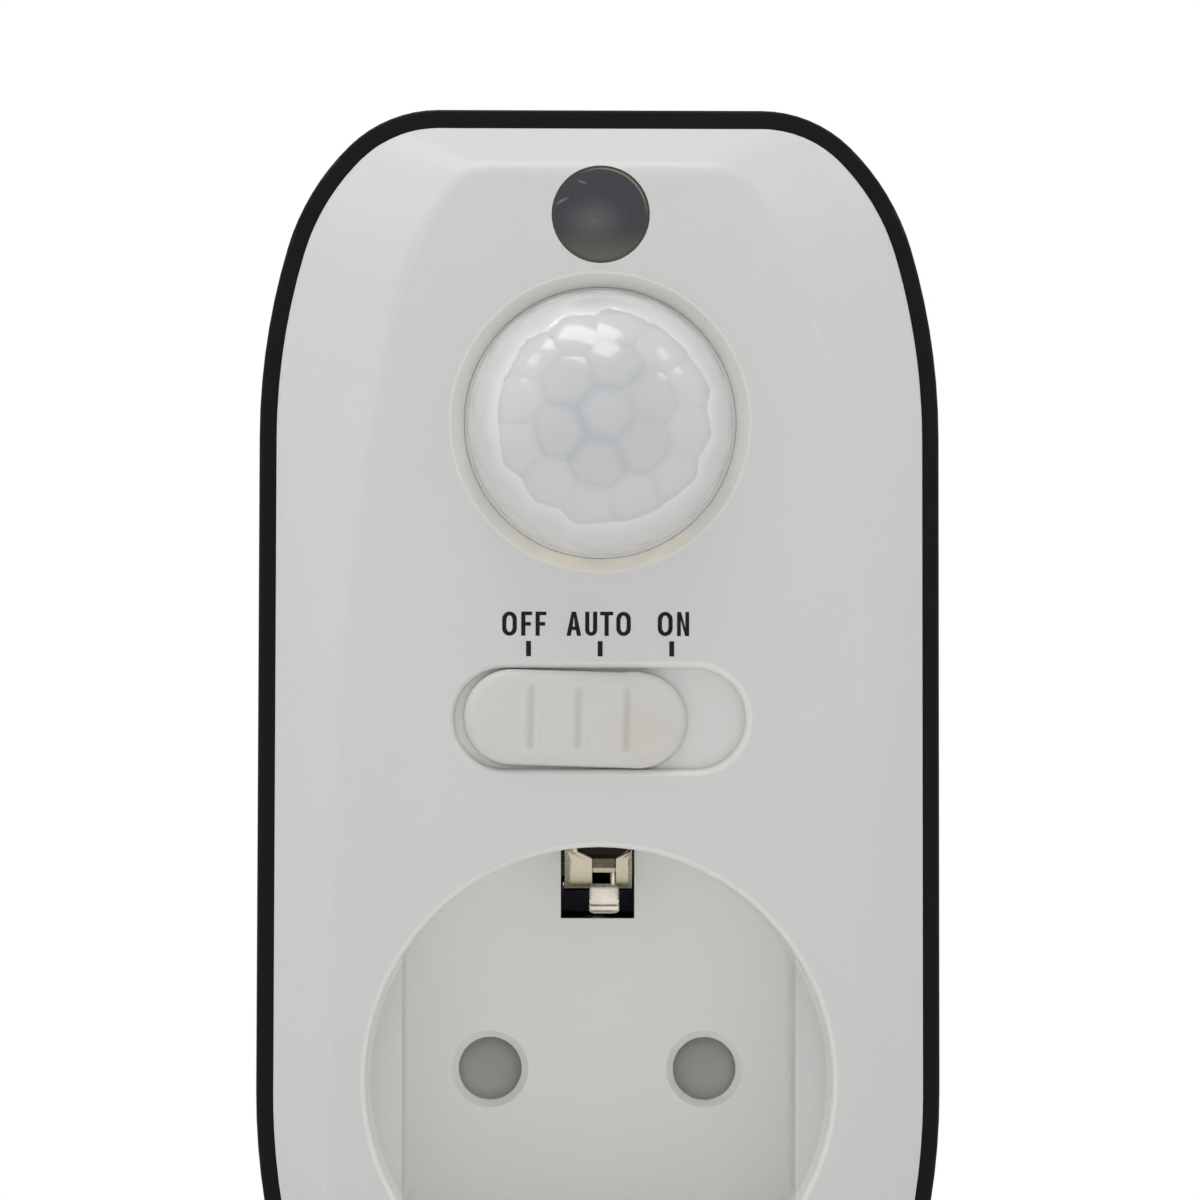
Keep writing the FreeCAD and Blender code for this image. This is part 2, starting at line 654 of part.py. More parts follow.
def switch_slot():
    """Shallow slot that the knob slides in."""
    return stadium(SLOT_LENGTH, SLOT_WIDTH, SLOT_BOTTOM, FACE - BEYOND, 0.0, SWITCH_HEIGHT)


def switch_slot_pad():
    """Thicker wall behind the slot."""
    length = SLOT_LENGTH + 2 * SLOT_PAD
    width = SLOT_WIDTH + 2 * SLOT_PAD
    return stadium(length, width, SLOT_BACK, FACE_INSIDE - FACE_WALL / 2, 0.0, SWITCH_HEIGHT)


def cover_openings():
    """What is cut through the face for the lens, the dusk window and the knob's stem."""
    lens_radius = LENS_RADIUS + LENS_CLEARANCE
    dish_radius = lens_radius + LENS_DISH_WIDTH
    window_radius = WINDOW_DIAMETER / 2 + WINDOW_CLEARANCE
    neck_length, neck_width = switch_neck_size()
    return [
        rod(lens_radius, FACE_INSIDE + BEYOND, FACE - BEYOND, 0.0, LENS_HEIGHT),
        cone(lens_radius, dish_radius, FACE + LENS_DISH_DEPTH, FACE, 0.0, LENS_HEIGHT),
        rod(window_radius, FACE_INSIDE + FACE_WALL, FACE - BEYOND, 0.0, WINDOW_HEIGHT),
        switch_slot(),
        stadium(neck_length, neck_width, SLOT_BACK + BEYOND, FACE, 0.0, SWITCH_HEIGHT),
    ]


def cover_posts():
    """Posts of the front cover that the case screws bite into."""
    inside = cover_form()
    return [
        rod(CASE_COVER_POST_RADIUS, CASE_SPLIT, FACE + FACE_WALL / 2, across, height).common(inside)
        for across, height in case_screw_places()
    ]


def front_cover():
    """White front half of the housing."""
    cover = cut_with_rounded_rim(cover_form(), socket_recess()[0], FACE, RECESS_EDGE_RADIUS)
    cover = cut_with_rounded_rim(cover, switch_slot(), FACE, SLOT_EDGE_RADIUS)
    cover = cover.cut(cover_hollow())
    cover = cover.multiFuse([cover_lip(), socket_well(), switch_slot_pad()] + cover_posts())
    cover = cover.cut(socket_recess() + cover_openings())
    cover = cover.multiFuse(shutter_rails())
    hole_radius = SCREW_DIAMETER / 2 + FIT_CLEARANCE
    hole_bottom = CASE_SPLIT - CASE_SCREW_BITE - FIT_CLEARANCE
    return cover.cut([
        rod(hole_radius, CASE_SPLIT + BEYOND, hole_bottom, across, height)
        for across, height in case_screw_places()
    ])


def boss_form(shrink, back, front):
    """Round plug boss with a flat on each side, drawn in by a wall."""
    round_part = rod(BOSS_RADIUS - shrink, back, front)
    half_flat = BOSS_HALF_FLAT - shrink
    flats = block((-half_flat, half_flat), (back, front), (-BOSS_RADIUS, BOSS_RADIUS))
    return round_part.common(flats)


def boss_groove():
    """Upper groove of the boss, where the earth strip lies bare."""
    return block(
        (-GROOVE_WIDTH / 2, GROOVE_WIDTH / 2), (BEYOND, REAR_FACE), (GROOVE_FLOOR, BOSS_RADIUS + BEYOND)
    )


def boss_hollow():
    """Space inside the boss, kept away from the grooves by one wall."""
    hollow = boss_form(BOSS_WALL, -BOSS_END, REAR_FLOOR_INSIDE)
    half = GROOVE_WIDTH / 2 + BOSS_WALL
    backing = block((-half, half), (0.0, REAR_FLOOR_INSIDE), (GROOVE_FLOOR - BOSS_WALL, BOSS_RADIUS))
    for keep in both_ways(backing):
        hollow = hollow.cut(keep)
    return hollow


def rear_cover():
    """Black rear half of the housing with the plug boss."""
    shell = prism(BODY, 0.0, REAR_FACE, RIM)
    shell = rounded(shell, REAR_FACE, REAR_EDGE_RADIUS)
    shell = rounded(shell, RIM, RIM_EDGE_RADIUS)
    shell = shell.cut(prism(BODY, REAR_WALL, REAR_FLOOR_INSIDE, RIM - BEYOND))
    boss = rounded(boss_form(0.0, 0.0, REAR_FLOOR_INSIDE), 0.0, BOSS_EDGE_RADIUS)
    posts = [
        rod(CASE_POST_RADIUS, REAR_FLOOR_INSIDE + BEYOND, CASE_SPLIT, across, height)
        for across, height in case_screw_places()
    ]
    posts += [
        rod(BOARD_BOSS_RADIUS, REAR_FLOOR_INSIDE + BEYOND, BOARD_BACK, across, BOARD_BOSS_HEIGHT)
        for across in (-BOARD_BOSS_ACROSS, BOARD_BOSS_ACROSS)
    ]
    posts = [post.common(prism(BODY, REAR_WALL / 2, REAR_FACE, RIM)) for post in posts]
    cover = joined([shell, boss] + posts)
    cover = cover.cut(boss_hollow())
    post_end = -BOSS_END - CARRIER_POST_LENGTH
    carrier_post = rod(CARRIER_POST_RADIUS, -BOSS_END / 2, post_end, 0.0, CARRIER_SCREW_HEIGHT)
    cover = joined([cover] + both_ways(carrier_post))
    for groove in both_ways(boss_groove()):
        cover = cover.cut(groove)
    half_strip = STRIP_WIDTH / 2 + FIT_CLEARANCE
    strip_slot = block(
        (-half_strip, half_strip),
        (REAR_FACE + BEYOND, REAR_FLOOR_INSIDE - BEYOND),
        (GROOVE_FLOOR, GROOVE_FLOOR + STRIP_THICKNESS + FIT_CLEARANCE),
    )
    for slot in both_ways(strip_slot):
        cover = cover.cut(slot)
    for across in (-PIN_ACROSS, PIN_ACROSS):
        cover = cover.cut(rod(PIN_SEAT_DIAMETER / 2 + FIT_CLEARANCE, BEYOND, -BOSS_END - BEYOND, across))
        cover = cover.cut(rod(PIN_RING_DIAMETER / 2, BEYOND, -PIN_RING_DEPTH, across))
    tapped = SCREW_DIAMETER / 2 + FIT_CLEARANCE
    for height in (-CARRIER_SCREW_HEIGHT, CARRIER_SCREW_HEIGHT):
        bottom = post_end + CARRIER_SCREW_BITE + FIT_CLEARANCE
        cover = cover.cut(rod(tapped, bottom, post_end - BEYOND, 0.0, height))
    for across in (-BOARD_BOSS_ACROSS, BOARD_BOSS_ACROSS):
        bottom = BOARD_BACK + BOARD_SCREW_BITE + FIT_CLEARANCE
        cover = cover.cut(rod(tapped, bottom, BOARD_BACK - BEYOND, across, BOARD_BOSS_HEIGHT))
    head_radius = SCREW_HEAD_DIAMETER / 2 + CASE_HEAD_CLEARANCE
    shank_radius = SCREW_DIAMETER / 2 + SCREW_HOLE_CLEARANCE
    for across, height in case_screw_places():
        cover = cover.cut(rod(head_radius, REAR_FACE + BEYOND, CASE_SPLIT + CASE_SCREW_WEB, across, height))
        cover = cover.cut(rod(shank_radius, REAR_FACE, CASE_SPLIT - BEYOND, across, height))
    return cover


def plug_pin(across, tail_length):
    """Round plug pin with a seat and a flange in the boss, and a tail behind them."""
    shank = rod(PIN_DIAMETER / 2, PIN_LENGTH, -BOSS_END, across)
    shank = rounded(shank, PIN_LENGTH, PIN_TIP_RADIUS)
    seat = rod(PIN_SEAT_DIAMETER / 2, -PIN_SEAT_SETBACK, -BOSS_END, across)
    flange = rod(PIN_FLANGE_DIAMETER / 2, -BOSS_END, PIN_FLANGE_FACE, across)
    tail = rod(PIN_TAIL_DIAMETER / 2, PIN_FLANGE_FACE, PIN_FLANGE_FACE - tail_length, across)
    return joined([shank, seat, flange, tail])


def plug_pin_live():
    return plug_pin(-PIN_ACROSS, PIN_TAIL_LENGTH)


def plug_pin_neutral():
    """Its tail reaches into the collar of the neutral contact."""
    return plug_pin(PIN_ACROSS, CARRIER_BASE + CONTACT_COLLAR / 2)


def socket_contact(across):
    """Slit sleeve that grips a plug pin, with a collar behind and a solder tab."""
    outer = CONTACT_OUTER_DIAMETER / 2
    collar_front = CONTACT_BACK - CONTACT_COLLAR
    sleeve = rod(outer, CONTACT_BACK, CONTACT_FRONT, across)
    sleeve = sleeve.cut(rod(outer - CONTACT_WALL, collar_front, CONTACT_FRONT - BEYOND, across))
    tail_hole = PIN_TAIL_DIAMETER / 2 + FIT_CLEARANCE
    sleeve = sleeve.cut(rod(tail_hole, CONTACT_BACK + BEYOND, collar_front - BEYOND, across))
    half_slit = CONTACT_SLIT / 2
    slit_depths = (collar_front - 2 * CONTACT_SLIT, CONTACT_FRONT - BEYOND)
    sleeve = sleeve.cut(block((across - outer, across + outer), slit_depths, (-half_slit, half_slit)))
    sleeve = sleeve.cut(block((across - half_slit, across + half_slit), slit_depths, (-outer, outer)))
    half_tab = CONTACT_TAB_WIDTH / 2
    tab = block(
        (across - half_tab, across + half_tab),
        (TAB_BACK, TAB_FRONT),
        (outer - CONTACT_WALL, TAB_TOP),
    )
    return joined([sleeve, tab])


def live_contact():
    return socket_contact(-PIN_ACROSS)


def neutral_contact():
    return socket_contact(PIN_ACROSS)


def carrier_trough():
    """Trough in the carrier's front, where the shutter's lug moves against its spring."""
    half = SHUTTER_LUG_WIDTH / 2 + TROUGH_CLEARANCE
    return block(
        (-half, half),
        (CARRIER_FRONT - BEYOND, spring_depth() + SPRING_DIAMETER / 2 + TROUGH_CLEARANCE),
        (SHUTTER_LUG_BOTTOM - SPRING_LENGTH, SHUTTER_LUG_BOTTOM + SHUTTER_LUG_HEIGHT + SHUTTER_GAP),
    )


def contact_carrier():
    """Insulating block that holds both contacts and clamps the pin flanges."""
    between = block(
        (-BOSS_RADIUS, BOSS_RADIUS),
        (PIN_FLANGE_FACE, CARRIER_FRONT),
        (-CARRIER_HALF_HEIGHT, CARRIER_HALF_HEIGHT),
    )
    carrier = boss_form(BOSS_WALL + CARRIER_SIDE_GAP, PIN_FLANGE_FACE, CARRIER_FRONT).common(between)
    post_end = -BOSS_END - CARRIER_POST_LENGTH
    ear_front = post_end - CARRIER_EAR_THICKNESS
    ears = []
    for height in (-CARRIER_SCREW_HEIGHT, CARRIER_SCREW_HEIGHT):
        ears.append(rod(CARRIER_POST_RADIUS, post_end, ear_front, 0.0, height))
        ears.append(block((-CARRIER_POST_RADIUS, CARRIER_POST_RADIUS), (post_end, ear_front), (0.0, height)))
    carrier = joined([carrier] + ears)
    shank_radius = SCREW_DIAMETER / 2 + FIT_CLEARANCE
    for height in (-CARRIER_SCREW_HEIGHT, CARRIER_SCREW_HEIGHT):
        carrier = carrier.cut(rod(shank_radius, post_end + BEYOND, ear_front - BEYOND, 0.0, height))
    bore_radius = CONTACT_OUTER_DIAMETER / 2 + FIT_CLEARANCE
    half_tab = CONTACT_TAB_WIDTH / 2 + FIT_CLEARANCE
    for across in (-PIN_ACROSS, PIN_ACROSS):
        carrier = carrier.cut(rod(bore_radius, CONTACT_BACK, CARRIER_FRONT - BEYOND, across))
        tab_way = block(
            (across - half_tab, across + half_tab),
            (TAB_BACK + FIT_CLEARANCE, CARRIER_FRONT - BEYOND),
            (0.0, CARRIER_HALF_HEIGHT + BEYOND),
        )
        carrier = carrier.cut(tab_way)
    tail_hole = PIN_TAIL_DIAMETER / 2 + FIT_CLEARANCE
    carrier = carrier.cut(rod(tail_hole, PIN_FLANGE_FACE + BEYOND, CONTACT_BACK - BEYOND, PIN_ACROSS))
    half_channel = WIRE_CHANNEL_WIDTH / 2
    channel = block(
        (-PIN_ACROSS - half_channel, -PIN_ACROSS + half_channel),
        (PIN_FLANGE_FACE + BEYOND, PIN_FLANGE_FACE - WIRE_CHANNEL_DEPTH),
        (-half_channel, CARRIER_HALF_HEIGHT + BEYOND),
    )
    return carrier.cut(channel).cut(carrier_trough())


def carrier_screws():
    """Two screws, driven towards the back into the posts of the boss."""
    post_end = -BOSS_END - CARRIER_POST_LENGTH
    head_face = post_end - CARRIER_EAR_THICKNESS
    tip = post_end + CARRIER_SCREW_BITE
    return Part.makeCompound([
        screw(head_face, tip, 0.0, height) for height in (-CARRIER_SCREW_HEIGHT, CARRIER_SCREW_HEIGHT)
    ])


def clip_top():
    """Depth of the clip's flange, below the face."""
    return FACE + CLIP_DROP


def earth_strip():
    """Upper earth strip: bare in the boss groove, then forward to a sprung tongue in the socket."""
    lying = GROOVE_FLOOR + STRIP_THICKNESS / 2
    rise = CLIP_LEG_HEIGHT - lying
    turn_forward = REAR_FLOOR_INSIDE - rise
    run = [
        (-STRIP_END_SETBACK, lying),
        (turn_forward, lying),
        (turn_forward - rise, CLIP_LEG_HEIGHT),
        (clip_top(), CLIP_LEG_HEIGHT),
        (clip_top(), CLIP_FLANGE_END),
    ]
    strip = bent_strip(run, STRIP_THICKNESS, STRIP_WIDTH)
    half_hole = CLIP_HOLE_WIDTH / 2
    hole = block(
        (-half_hole, half_hole),
        (clip_top() - BEYOND, clip_top() + BEYOND),
        (CLIP_FLANGE_END + STRIP_THICKNESS / 2, CLIP_FLANGE_END + STRIP_THICKNESS / 2 + CLIP_HOLE_HEIGHT),
    )
    tongue_drop = CLIP_FLANGE_END - CLIP_TONGUE_REACH
    tongue_run = [
        (clip_top(), CLIP_FLANGE_END + STRIP_THICKNESS / 2),
        (clip_top(), CLIP_FLANGE_END),
        (clip_top() + tongue_drop, CLIP_TONGUE_REACH + tongue_drop / 3),
        (clip_top() + CLIP_TONGUE_LENGTH - tongue_drop, CLIP_TONGUE_REACH),
        (clip_top() + CLIP_TONGUE_LENGTH, CLIP_TONGUE_REACH + tongue_drop / 2),
    ]
    tongue = bent_strip(tongue_run, STRIP_THICKNESS, CLIP_TONGUE_WIDTH, end_round=True)
    return joined([strip.cut(hole), tongue])


def earth_strip_top():
    return earth_strip()


def earth_strip_bottom():
    return mirrored_down(earth_strip())


def earth_bridge():
    """Half ring behind the socket floor that joins both strips round the left side."""
    half_strip = STRIP_WIDTH / 2 + FIT_CLEARANCE
    outer = CLIP_LEG_HEIGHT + BRIDGE_MARGIN
    back = RECESS_FLOOR_BACK + STRIP_THICKNESS
    ring = rod(outer, back, RECESS_FLOOR_BACK).cut(rod(shutter_clear_radius(), back, RECESS_FLOOR_BACK))
    left = block((-outer, half_strip + BRIDGE_GAP), (RECESS_FLOOR_BACK, back), (-outer, outer))
    bridge = ring.common(left)
    strip_way = block(
        (-half_strip, half_strip),
        (RECESS_FLOOR_BACK - BEYOND, back + BEYOND),
        (
            CLIP_LEG_HEIGHT - STRIP_THICKNESS / 2 - FIT_CLEARANCE,
            CLIP_LEG_HEIGHT + STRIP_THICKNESS / 2 + FIT_CLEARANCE,
        ),
    )
    for way in both_ways(strip_way):
        bridge = bridge.cut(way)
    return bridge


def shutter_half_width():
    """Half width of the shutter plate, past the pin holes."""
    return PIN_ACROSS + PIN_HOLE_DIAMETER / 2 + SHUTTER_BORDER


def shutter_top():
    """Upper edge of the shutter at rest."""
    return SHUTTER_TRAVEL + SHUTTER_WINDOW_RADIUS + SHUTTER_BORDER


def shutter_clear_radius():
    """Inner radius of the earth bridge, clear of the shutter and its rails."""
    rail_across = shutter_half_width() + SHUTTER_GAP + SHUTTER_RAIL_WIDTH
    rail_corner = math.hypot(rail_across, SHUTTER_RAIL_HALF_LENGTH)
    corner_across = shutter_half_width() - SHUTTER_CORNER_RADIUS
    corner_height = shutter_top() - SHUTTER_CORNER_RADIUS
    plate_corner = math.hypot(corner_across, corner_height) + SHUTTER_CORNER_RADIUS
    return max(rail_corner, plate_corner) + BRIDGE_GAP


def spring_depth():
    """Depth of the spring's axis, inside the carrier's trough."""
    return CARRIER_FRONT + TROUGH_CLEARANCE + SPRING_DIAMETER / 2


def safety_shutter():
    """Plate that covers both pin holes, with a ramp under each and a window above it."""
    half_width = shutter_half_width()
    bottom = -PIN_HOLE_DIAMETER / 2 - SHUTTER_BORDER
    plate = block((-half_width, half_width), (SHUTTER_FRONT, SHUTTER_BACK), (bottom, shutter_top()))
    half_lug = SHUTTER_LUG_WIDTH / 2
    lug = block(
        (-half_lug, half_lug),
        (SHUTTER_FRONT, spring_depth() + SPRING_DIAMETER / 2),
        (SHUTTER_LUG_BOTTOM, SHUTTER_LUG_BOTTOM + SHUTTER_LUG_HEIGHT),
    )
    corners = [edge for edge in plate.Edges if edge.BoundBox.YLength > SHUTTER_THICKNESS / 2]
    plate = plate.makeFillet(SHUTTER_CORNER_RADIUS, corners)
    shutter = joined([plate, lug])
    for across in (-PIN_ACROSS, PIN_ACROSS):
        depths = (SHUTTER_BACK + BEYOND, SHUTTER_FRONT - BEYOND)
        shutter = shutter.cut(rod(SHUTTER_WINDOW_RADIUS, *depths, across, SHUTTER_TRAVEL))
        left = across - SHUTTER_WINDOW_RADIUS
        corners = [
            Vector(left, SHUTTER_FRONT, -PIN_HOLE_DIAMETER / 2),
            Vector(left, SHUTTER_FRONT, SHUTTER_TRAVEL),
            Vector(left, SHUTTER_FRONT + SHUTTER_RAMP_DEPTH, SHUTTER_TRAVEL),
        ]
        side = Part.Face(Part.makePolygon(corners + corners[:1]))
        shutter = shutter.cut(side.extrude(Vector(2 * SHUTTER_WINDOW_RADIUS, 0, 0)))
    return shutter


def shutter_spring():
    """Compression spring under the shutter's lug, wound as arcs of a quarter turn."""
    radius = (SPRING_DIAMETER - SPRING_WIRE) / 2
    bottom = SHUTTER_LUG_BOTTOM - SPRING_LENGTH + SPRING_WIRE / 2
    rise = SPRING_LENGTH - SPRING_WIRE

    def on_helix(turn):
        angle = 2 * math.pi * turn
        return Vector(
            radius * math.cos(angle),
            spring_depth() + radius * math.sin(angle),
            bottom + rise * turn / SPRING_TURNS,
        )

    quarters = 4 * SPRING_TURNS
    edges = [
        Part.Arc(on_helix(step / 4), on_helix((step + 0.5) / 4), on_helix((step + 1) / 4)).toShape()
        for step in range(quarters)
    ]
    start = edges[0]
    heading = start.tangentAt(start.FirstParameter)
    ring = Part.Wire([Part.makeCircle(SPRING_WIRE / 2, on_helix(0.0), heading)])
    return Part.Wire(edges).makePipeShell([ring], True, False)


def lens_facet(polar, azimuth):
    """Large block whose near face cuts one flat cell off the dome."""
    distance = LENS_RADIUS * math.cos(math.radians(LENS_CELL_ANGLE))
    size = 2 * LENS_RADIUS
    cutter = Part.makeBox(size, size, size, Vector(-size / 2, -distance - size, -size / 2))
    centre = Vector(0, 0, 0)
    cutter.rotate(centre, Vector(1, 0, 0), -polar)
    cutter.rotate(centre, Vector(0, 1, 0), azimuth)
    cutter.translate(Vector(0, FACE_INSIDE, LENS_HEIGHT))
    return cutter


def pir_lens():
    """Milky dome in rings of flat cells, with a flange behind the cover."""
    centre = Vector(0, FACE_INSIDE, LENS_HEIGHT)
    dome = Part.makeSphere(LENS_RADIUS, centre)
    for polar, count, start in zip(LENS_RING_ANGLES, LENS_RING_COUNTS, LENS_RING_START_ANGLES):
        dome = dome.cut([lens_facet(polar, start + 360.0 * step / count) for step in range(count)])
    front_half = block(
        (-LENS_RADIUS, LENS_RADIUS),
        (FACE_INSIDE, FACE_INSIDE - LENS_RADIUS),
        (LENS_HEIGHT - LENS_RADIUS, LENS_HEIGHT + LENS_RADIUS),
    )
    dome = dome.common(front_half)
    flange_back = FACE_INSIDE + LENS_FLANGE_THICKNESS
    flange = rod(LENS_FLANGE_RADIUS, flange_back, FACE_INSIDE, 0.0, LENS_HEIGHT)
    lens = joined([dome, flange])
    inner_radius = LENS_RADIUS - LENS_WALL
    lens = lens.cut(Part.makeSphere(inner_radius, centre))
    return lens.cut(rod(inner_radius, flange_back + BEYOND, FACE_INSIDE, 0.0, LENS_HEIGHT))


def lens_retaining_ring():
    """Ring that holds the lens flange against the cover."""
    front = FACE_INSIDE + LENS_FLANGE_THICKNESS
    back = front + RETAINER_HEIGHT
    ring = rod(RETAINER_RADIUS, back, front, 0.0, LENS_HEIGHT)
    inner = LENS_RADIUS - RETAINER_INNER_GAP
    return ring.cut(rod(inner, back + BEYOND, front - BEYOND, 0.0, LENS_HEIGHT))


def light_window():
    """Smoked disc, flush with the face."""
    return rod(WINDOW_DIAMETER / 2, FACE + WINDOW_THICKNESS, FACE, 0.0, WINDOW_HEIGHT)


def light_sensor():
    """Clear bullet with a brim, on the board behind the dusk window."""
    radius = LIGHT_SENSOR_DIAMETER / 2
    brim_front = BOARD_FRONT - LIGHT_SENSOR_FLANGE_THICKNESS
    brim = rod(LIGHT_SENSOR_FLANGE / 2, BOARD_FRONT, brim_front, 0.0, WINDOW_HEIGHT)
    nose_start = BOARD_FRONT - LIGHT_SENSOR_LENGTH + radius
    stem = rod(radius, brim_front, nose_start, 0.0, WINDOW_HEIGHT)
    nose = Part.makeSphere(radius, Vector(0, nose_start, WINDOW_HEIGHT))
    return joined([brim, stem, nose])


def light_shroud():
    """Black tube between the board and the dusk window."""
    tube = rod(SHROUD_RADIUS, BOARD_FRONT, FACE + WINDOW_THICKNESS, 0.0, WINDOW_HEIGHT)
    return tube.cut(rod(SHROUD_INNER_RADIUS, BOARD_FRONT + BEYOND, FACE, 0.0, WINDOW_HEIGHT))


def pir_sensor():
    """Metal sensor can with a rectangular filter window."""
    base = BOARD_FRONT - SPACER_THICKNESS
    top = base - SENSOR_CAN_HEIGHT
    brim = rod(SENSOR_BRIM_RADIUS, base, base - SENSOR_BRIM_THICKNESS, 0.0, LENS_HEIGHT)
    can = rod(SENSOR_CAN_RADIUS, base, top, 0.0, LENS_HEIGHT)
    half_width = SENSOR_WINDOW_WIDTH / 2
    half_height = SENSOR_WINDOW_HEIGHT / 2
    window = block(
        (-half_width, half_width),
        (top - BEYOND, top + SENSOR_WINDOW_DEPTH),
        (LENS_HEIGHT - half_height, LENS_HEIGHT + half_height),
    )
    return joined([brim, can]).cut(window)


def sensor_spacer():
    """Plastic disc that lifts the sensor can off the board."""
    disc = rod(SPACER_RADIUS, BOARD_FRONT, BOARD_FRONT - SPACER_THICKNESS, 0.0, LENS_HEIGHT)
    return disc.cut(rod(SPACER_BORE_RADIUS, BOARD_FRONT + BEYOND, FACE, 0.0, LENS_HEIGHT))


def knob_across():
    """Rest place of the knob, at OFF, half the travel to the left."""
    return -SWITCH_TRAVEL / 2


def stem_back():
    """Depth of the stem's end, behind the slot's floor."""
    return SLOT_BACK + STEM_BELOW_FLOOR


def switch_knob():
    """Sliding knob with three grip grooves, a stem and two hooks."""
    across = knob_across()
    top = FACE - KNOB_PROUD
    knob = stadium(KNOB_LENGTH, KNOB_WIDTH, SLOT_BOTTOM - KNOB_GAP, top, across, SWITCH_HEIGHT)
    knob = rounded(knob, top, KNOB_EDGE_RADIUS)
    for step in (-1, 0, 1):
        groove_across = across + step * KNOB_GROOVE_SPACING
        half_length = KNOB_GROOVE_LENGTH / 2
        place = Vector(
            groove_across, top - KNOB_GROOVE_WIDTH / 2 + KNOB_GROOVE_DEPTH, SWITCH_HEIGHT - half_length
        )
        groove = Part.makeCylinder(KNOB_GROOVE_WIDTH / 2, KNOB_GROOVE_LENGTH, place, Vector(0, 0, 1))
        knob = knob.cut(groove)
    half_stem = STEM_WIDTH / 2
    stem = stadium(STEM_LENGTH, STEM_WIDTH, stem_back(), SLOT_BOTTOM - KNOB_GAP, across, SWITCH_HEIGHT)
    hook_front = SLOT_BACK + HOOK_GAP
    hooks = block(
        (across - HOOK_LENGTH / 2, across + HOOK_LENGTH / 2),
        (hook_front, hook_front + HOOK_THICKNESS),
        (
            SWITCH_HEIGHT - half_stem - STEM_CLEARANCE - HOOK_REACH,
            SWITCH_HEIGHT + half_stem + STEM_CLEARANCE + HOOK_REACH,
        ),
    )
    half_pocket = LEVER_SIZE / 2 + LEVER_CLEARANCE
    pocket = block(
        (across - half_pocket, across + half_pocket),
        (stem_back() + BEYOND, stem_back() - LEVER_POCKET_DEPTH),
        (SWITCH_HEIGHT - half_pocket, SWITCH_HEIGHT + half_pocket),
    )
    return joined([knob, stem, hooks]).cut(pocket)


def switch_lever():
    """Square lever of the slide switch with its slider inside the frame."""
    across = knob_across()
    half = LEVER_SIZE / 2
    slider_front = BOARD_FRONT - FRAME_HEIGHT + FRAME_WALL + KNOB_GAP
    lever = block(
        (across - half, across + half),
        (slider_front, stem_back() - LEVER_POCKET_DEPTH + LEVER_CLEARANCE),
        (SWITCH_HEIGHT - half, SWITCH_HEIGHT + half),
    )
    half_width = FRAME_WIDTH / 2 - FRAME_WALL - LEVER_CLEARANCE
    slider = block(
        (across - SLIDER_LENGTH / 2, across + SLIDER_LENGTH / 2),
        (slider_front, slider_front + SLIDER_THICKNESS),
        (SWITCH_HEIGHT - half_width, SWITCH_HEIGHT + half_width),
    )
    return joined([lever, slider])


def switch_frame():
    """Sheet metal frame of the slide switch, on the board."""
    half_length = FRAME_LENGTH / 2
    half_width = FRAME_WIDTH / 2
    front = BOARD_FRONT - FRAME_HEIGHT
    heights = (SWITCH_HEIGHT - half_width, SWITCH_HEIGHT + half_width)
    frame = block((-half_length, half_length), (BOARD_FRONT, front), heights)
    inner_heights = (heights[0] + FRAME_WALL, heights[1] - FRAME_WALL)
    frame = frame.cut(
        block(
            (-half_length + FRAME_WALL, half_length - FRAME_WALL),
            (BOARD_FRONT - FRAME_WALL, front + FRAME_WALL),
            inner_heights,
        )
    )
    half_way = (LEVER_SIZE + SWITCH_TRAVEL) / 2 + STEM_CLEARANCE
    half_gap = LEVER_SIZE / 2 + LEVER_CLEARANCE
    lever_way = block(
        (-half_way, half_way),
        (front - BEYOND, front + FRAME_WALL + FIT_CLEARANCE),
        (SWITCH_HEIGHT - half_gap, SWITCH_HEIGHT + half_gap),
    )
    return frame.cut(lever_way)


def circuit_board():
    """Board with a narrower top that clears the upper case screws."""
    depths = (BOARD_BACK, BOARD_FRONT)
    wide = block((-BOARD_HALF_WIDTH, BOARD_HALF_WIDTH), depths, (BOARD_BOTTOM, BOARD_NECK))
    neck = block((-BOARD_NECK_HALF_WIDTH, BOARD_NECK_HALF_WIDTH), depths, (BOARD_NECK, BOARD_TOP))
    board = joined([wide, neck])
    corners = [
        edge for edge in board.Edges
        if edge.BoundBox.YLength > BOARD_THICKNESS / 2 and edge.BoundBox.XLength < 1e-4
    ]
    board = board.makeFillet(BOARD_CORNER, corners)
    hole = SCREW_DIAMETER / 2 + SCREW_HOLE_CLEARANCE
    for across in (-BOARD_BOSS_ACROSS, BOARD_BOSS_ACROSS):
        way = rod(hole, BOARD_BACK + BEYOND, BOARD_FRONT - BEYOND, across, BOARD_BOSS_HEIGHT)
        board = board.cut(way)
    return board


def board_screws():
    """Two screws through the board into the bosses of the rear cover."""
    return Part.makeCompound([
        screw(BOARD_FRONT, BOARD_BACK + BOARD_SCREW_BITE, across, BOARD_BOSS_HEIGHT)
        for across in (-BOARD_BOSS_ACROSS, BOARD_BOSS_ACROSS)
    ])


def case_screws():
    """Four screws from the back, up through the rear cover's posts into the front cover."""
    head_face = CASE_SPLIT + CASE_SCREW_WEB
    tip = CASE_SPLIT - CASE_SCREW_BITE
    return Part.makeCompound([
        screw(head_face, tip, across, height) for across, height in case_screw_places()
    ])


def from_left_edge(place):
    """(across, height) of a place that is measured from the board's left and lower edges."""
    return place[0] - BOARD_HALF_WIDTH, BOARD_BOTTOM + place[1]


def from_right_edge(place):
    """(across, height) of a place that is measured from the board's right and lower edges."""
    return BOARD_HALF_WIDTH - place[0], BOARD_BOTTOM + place[1]


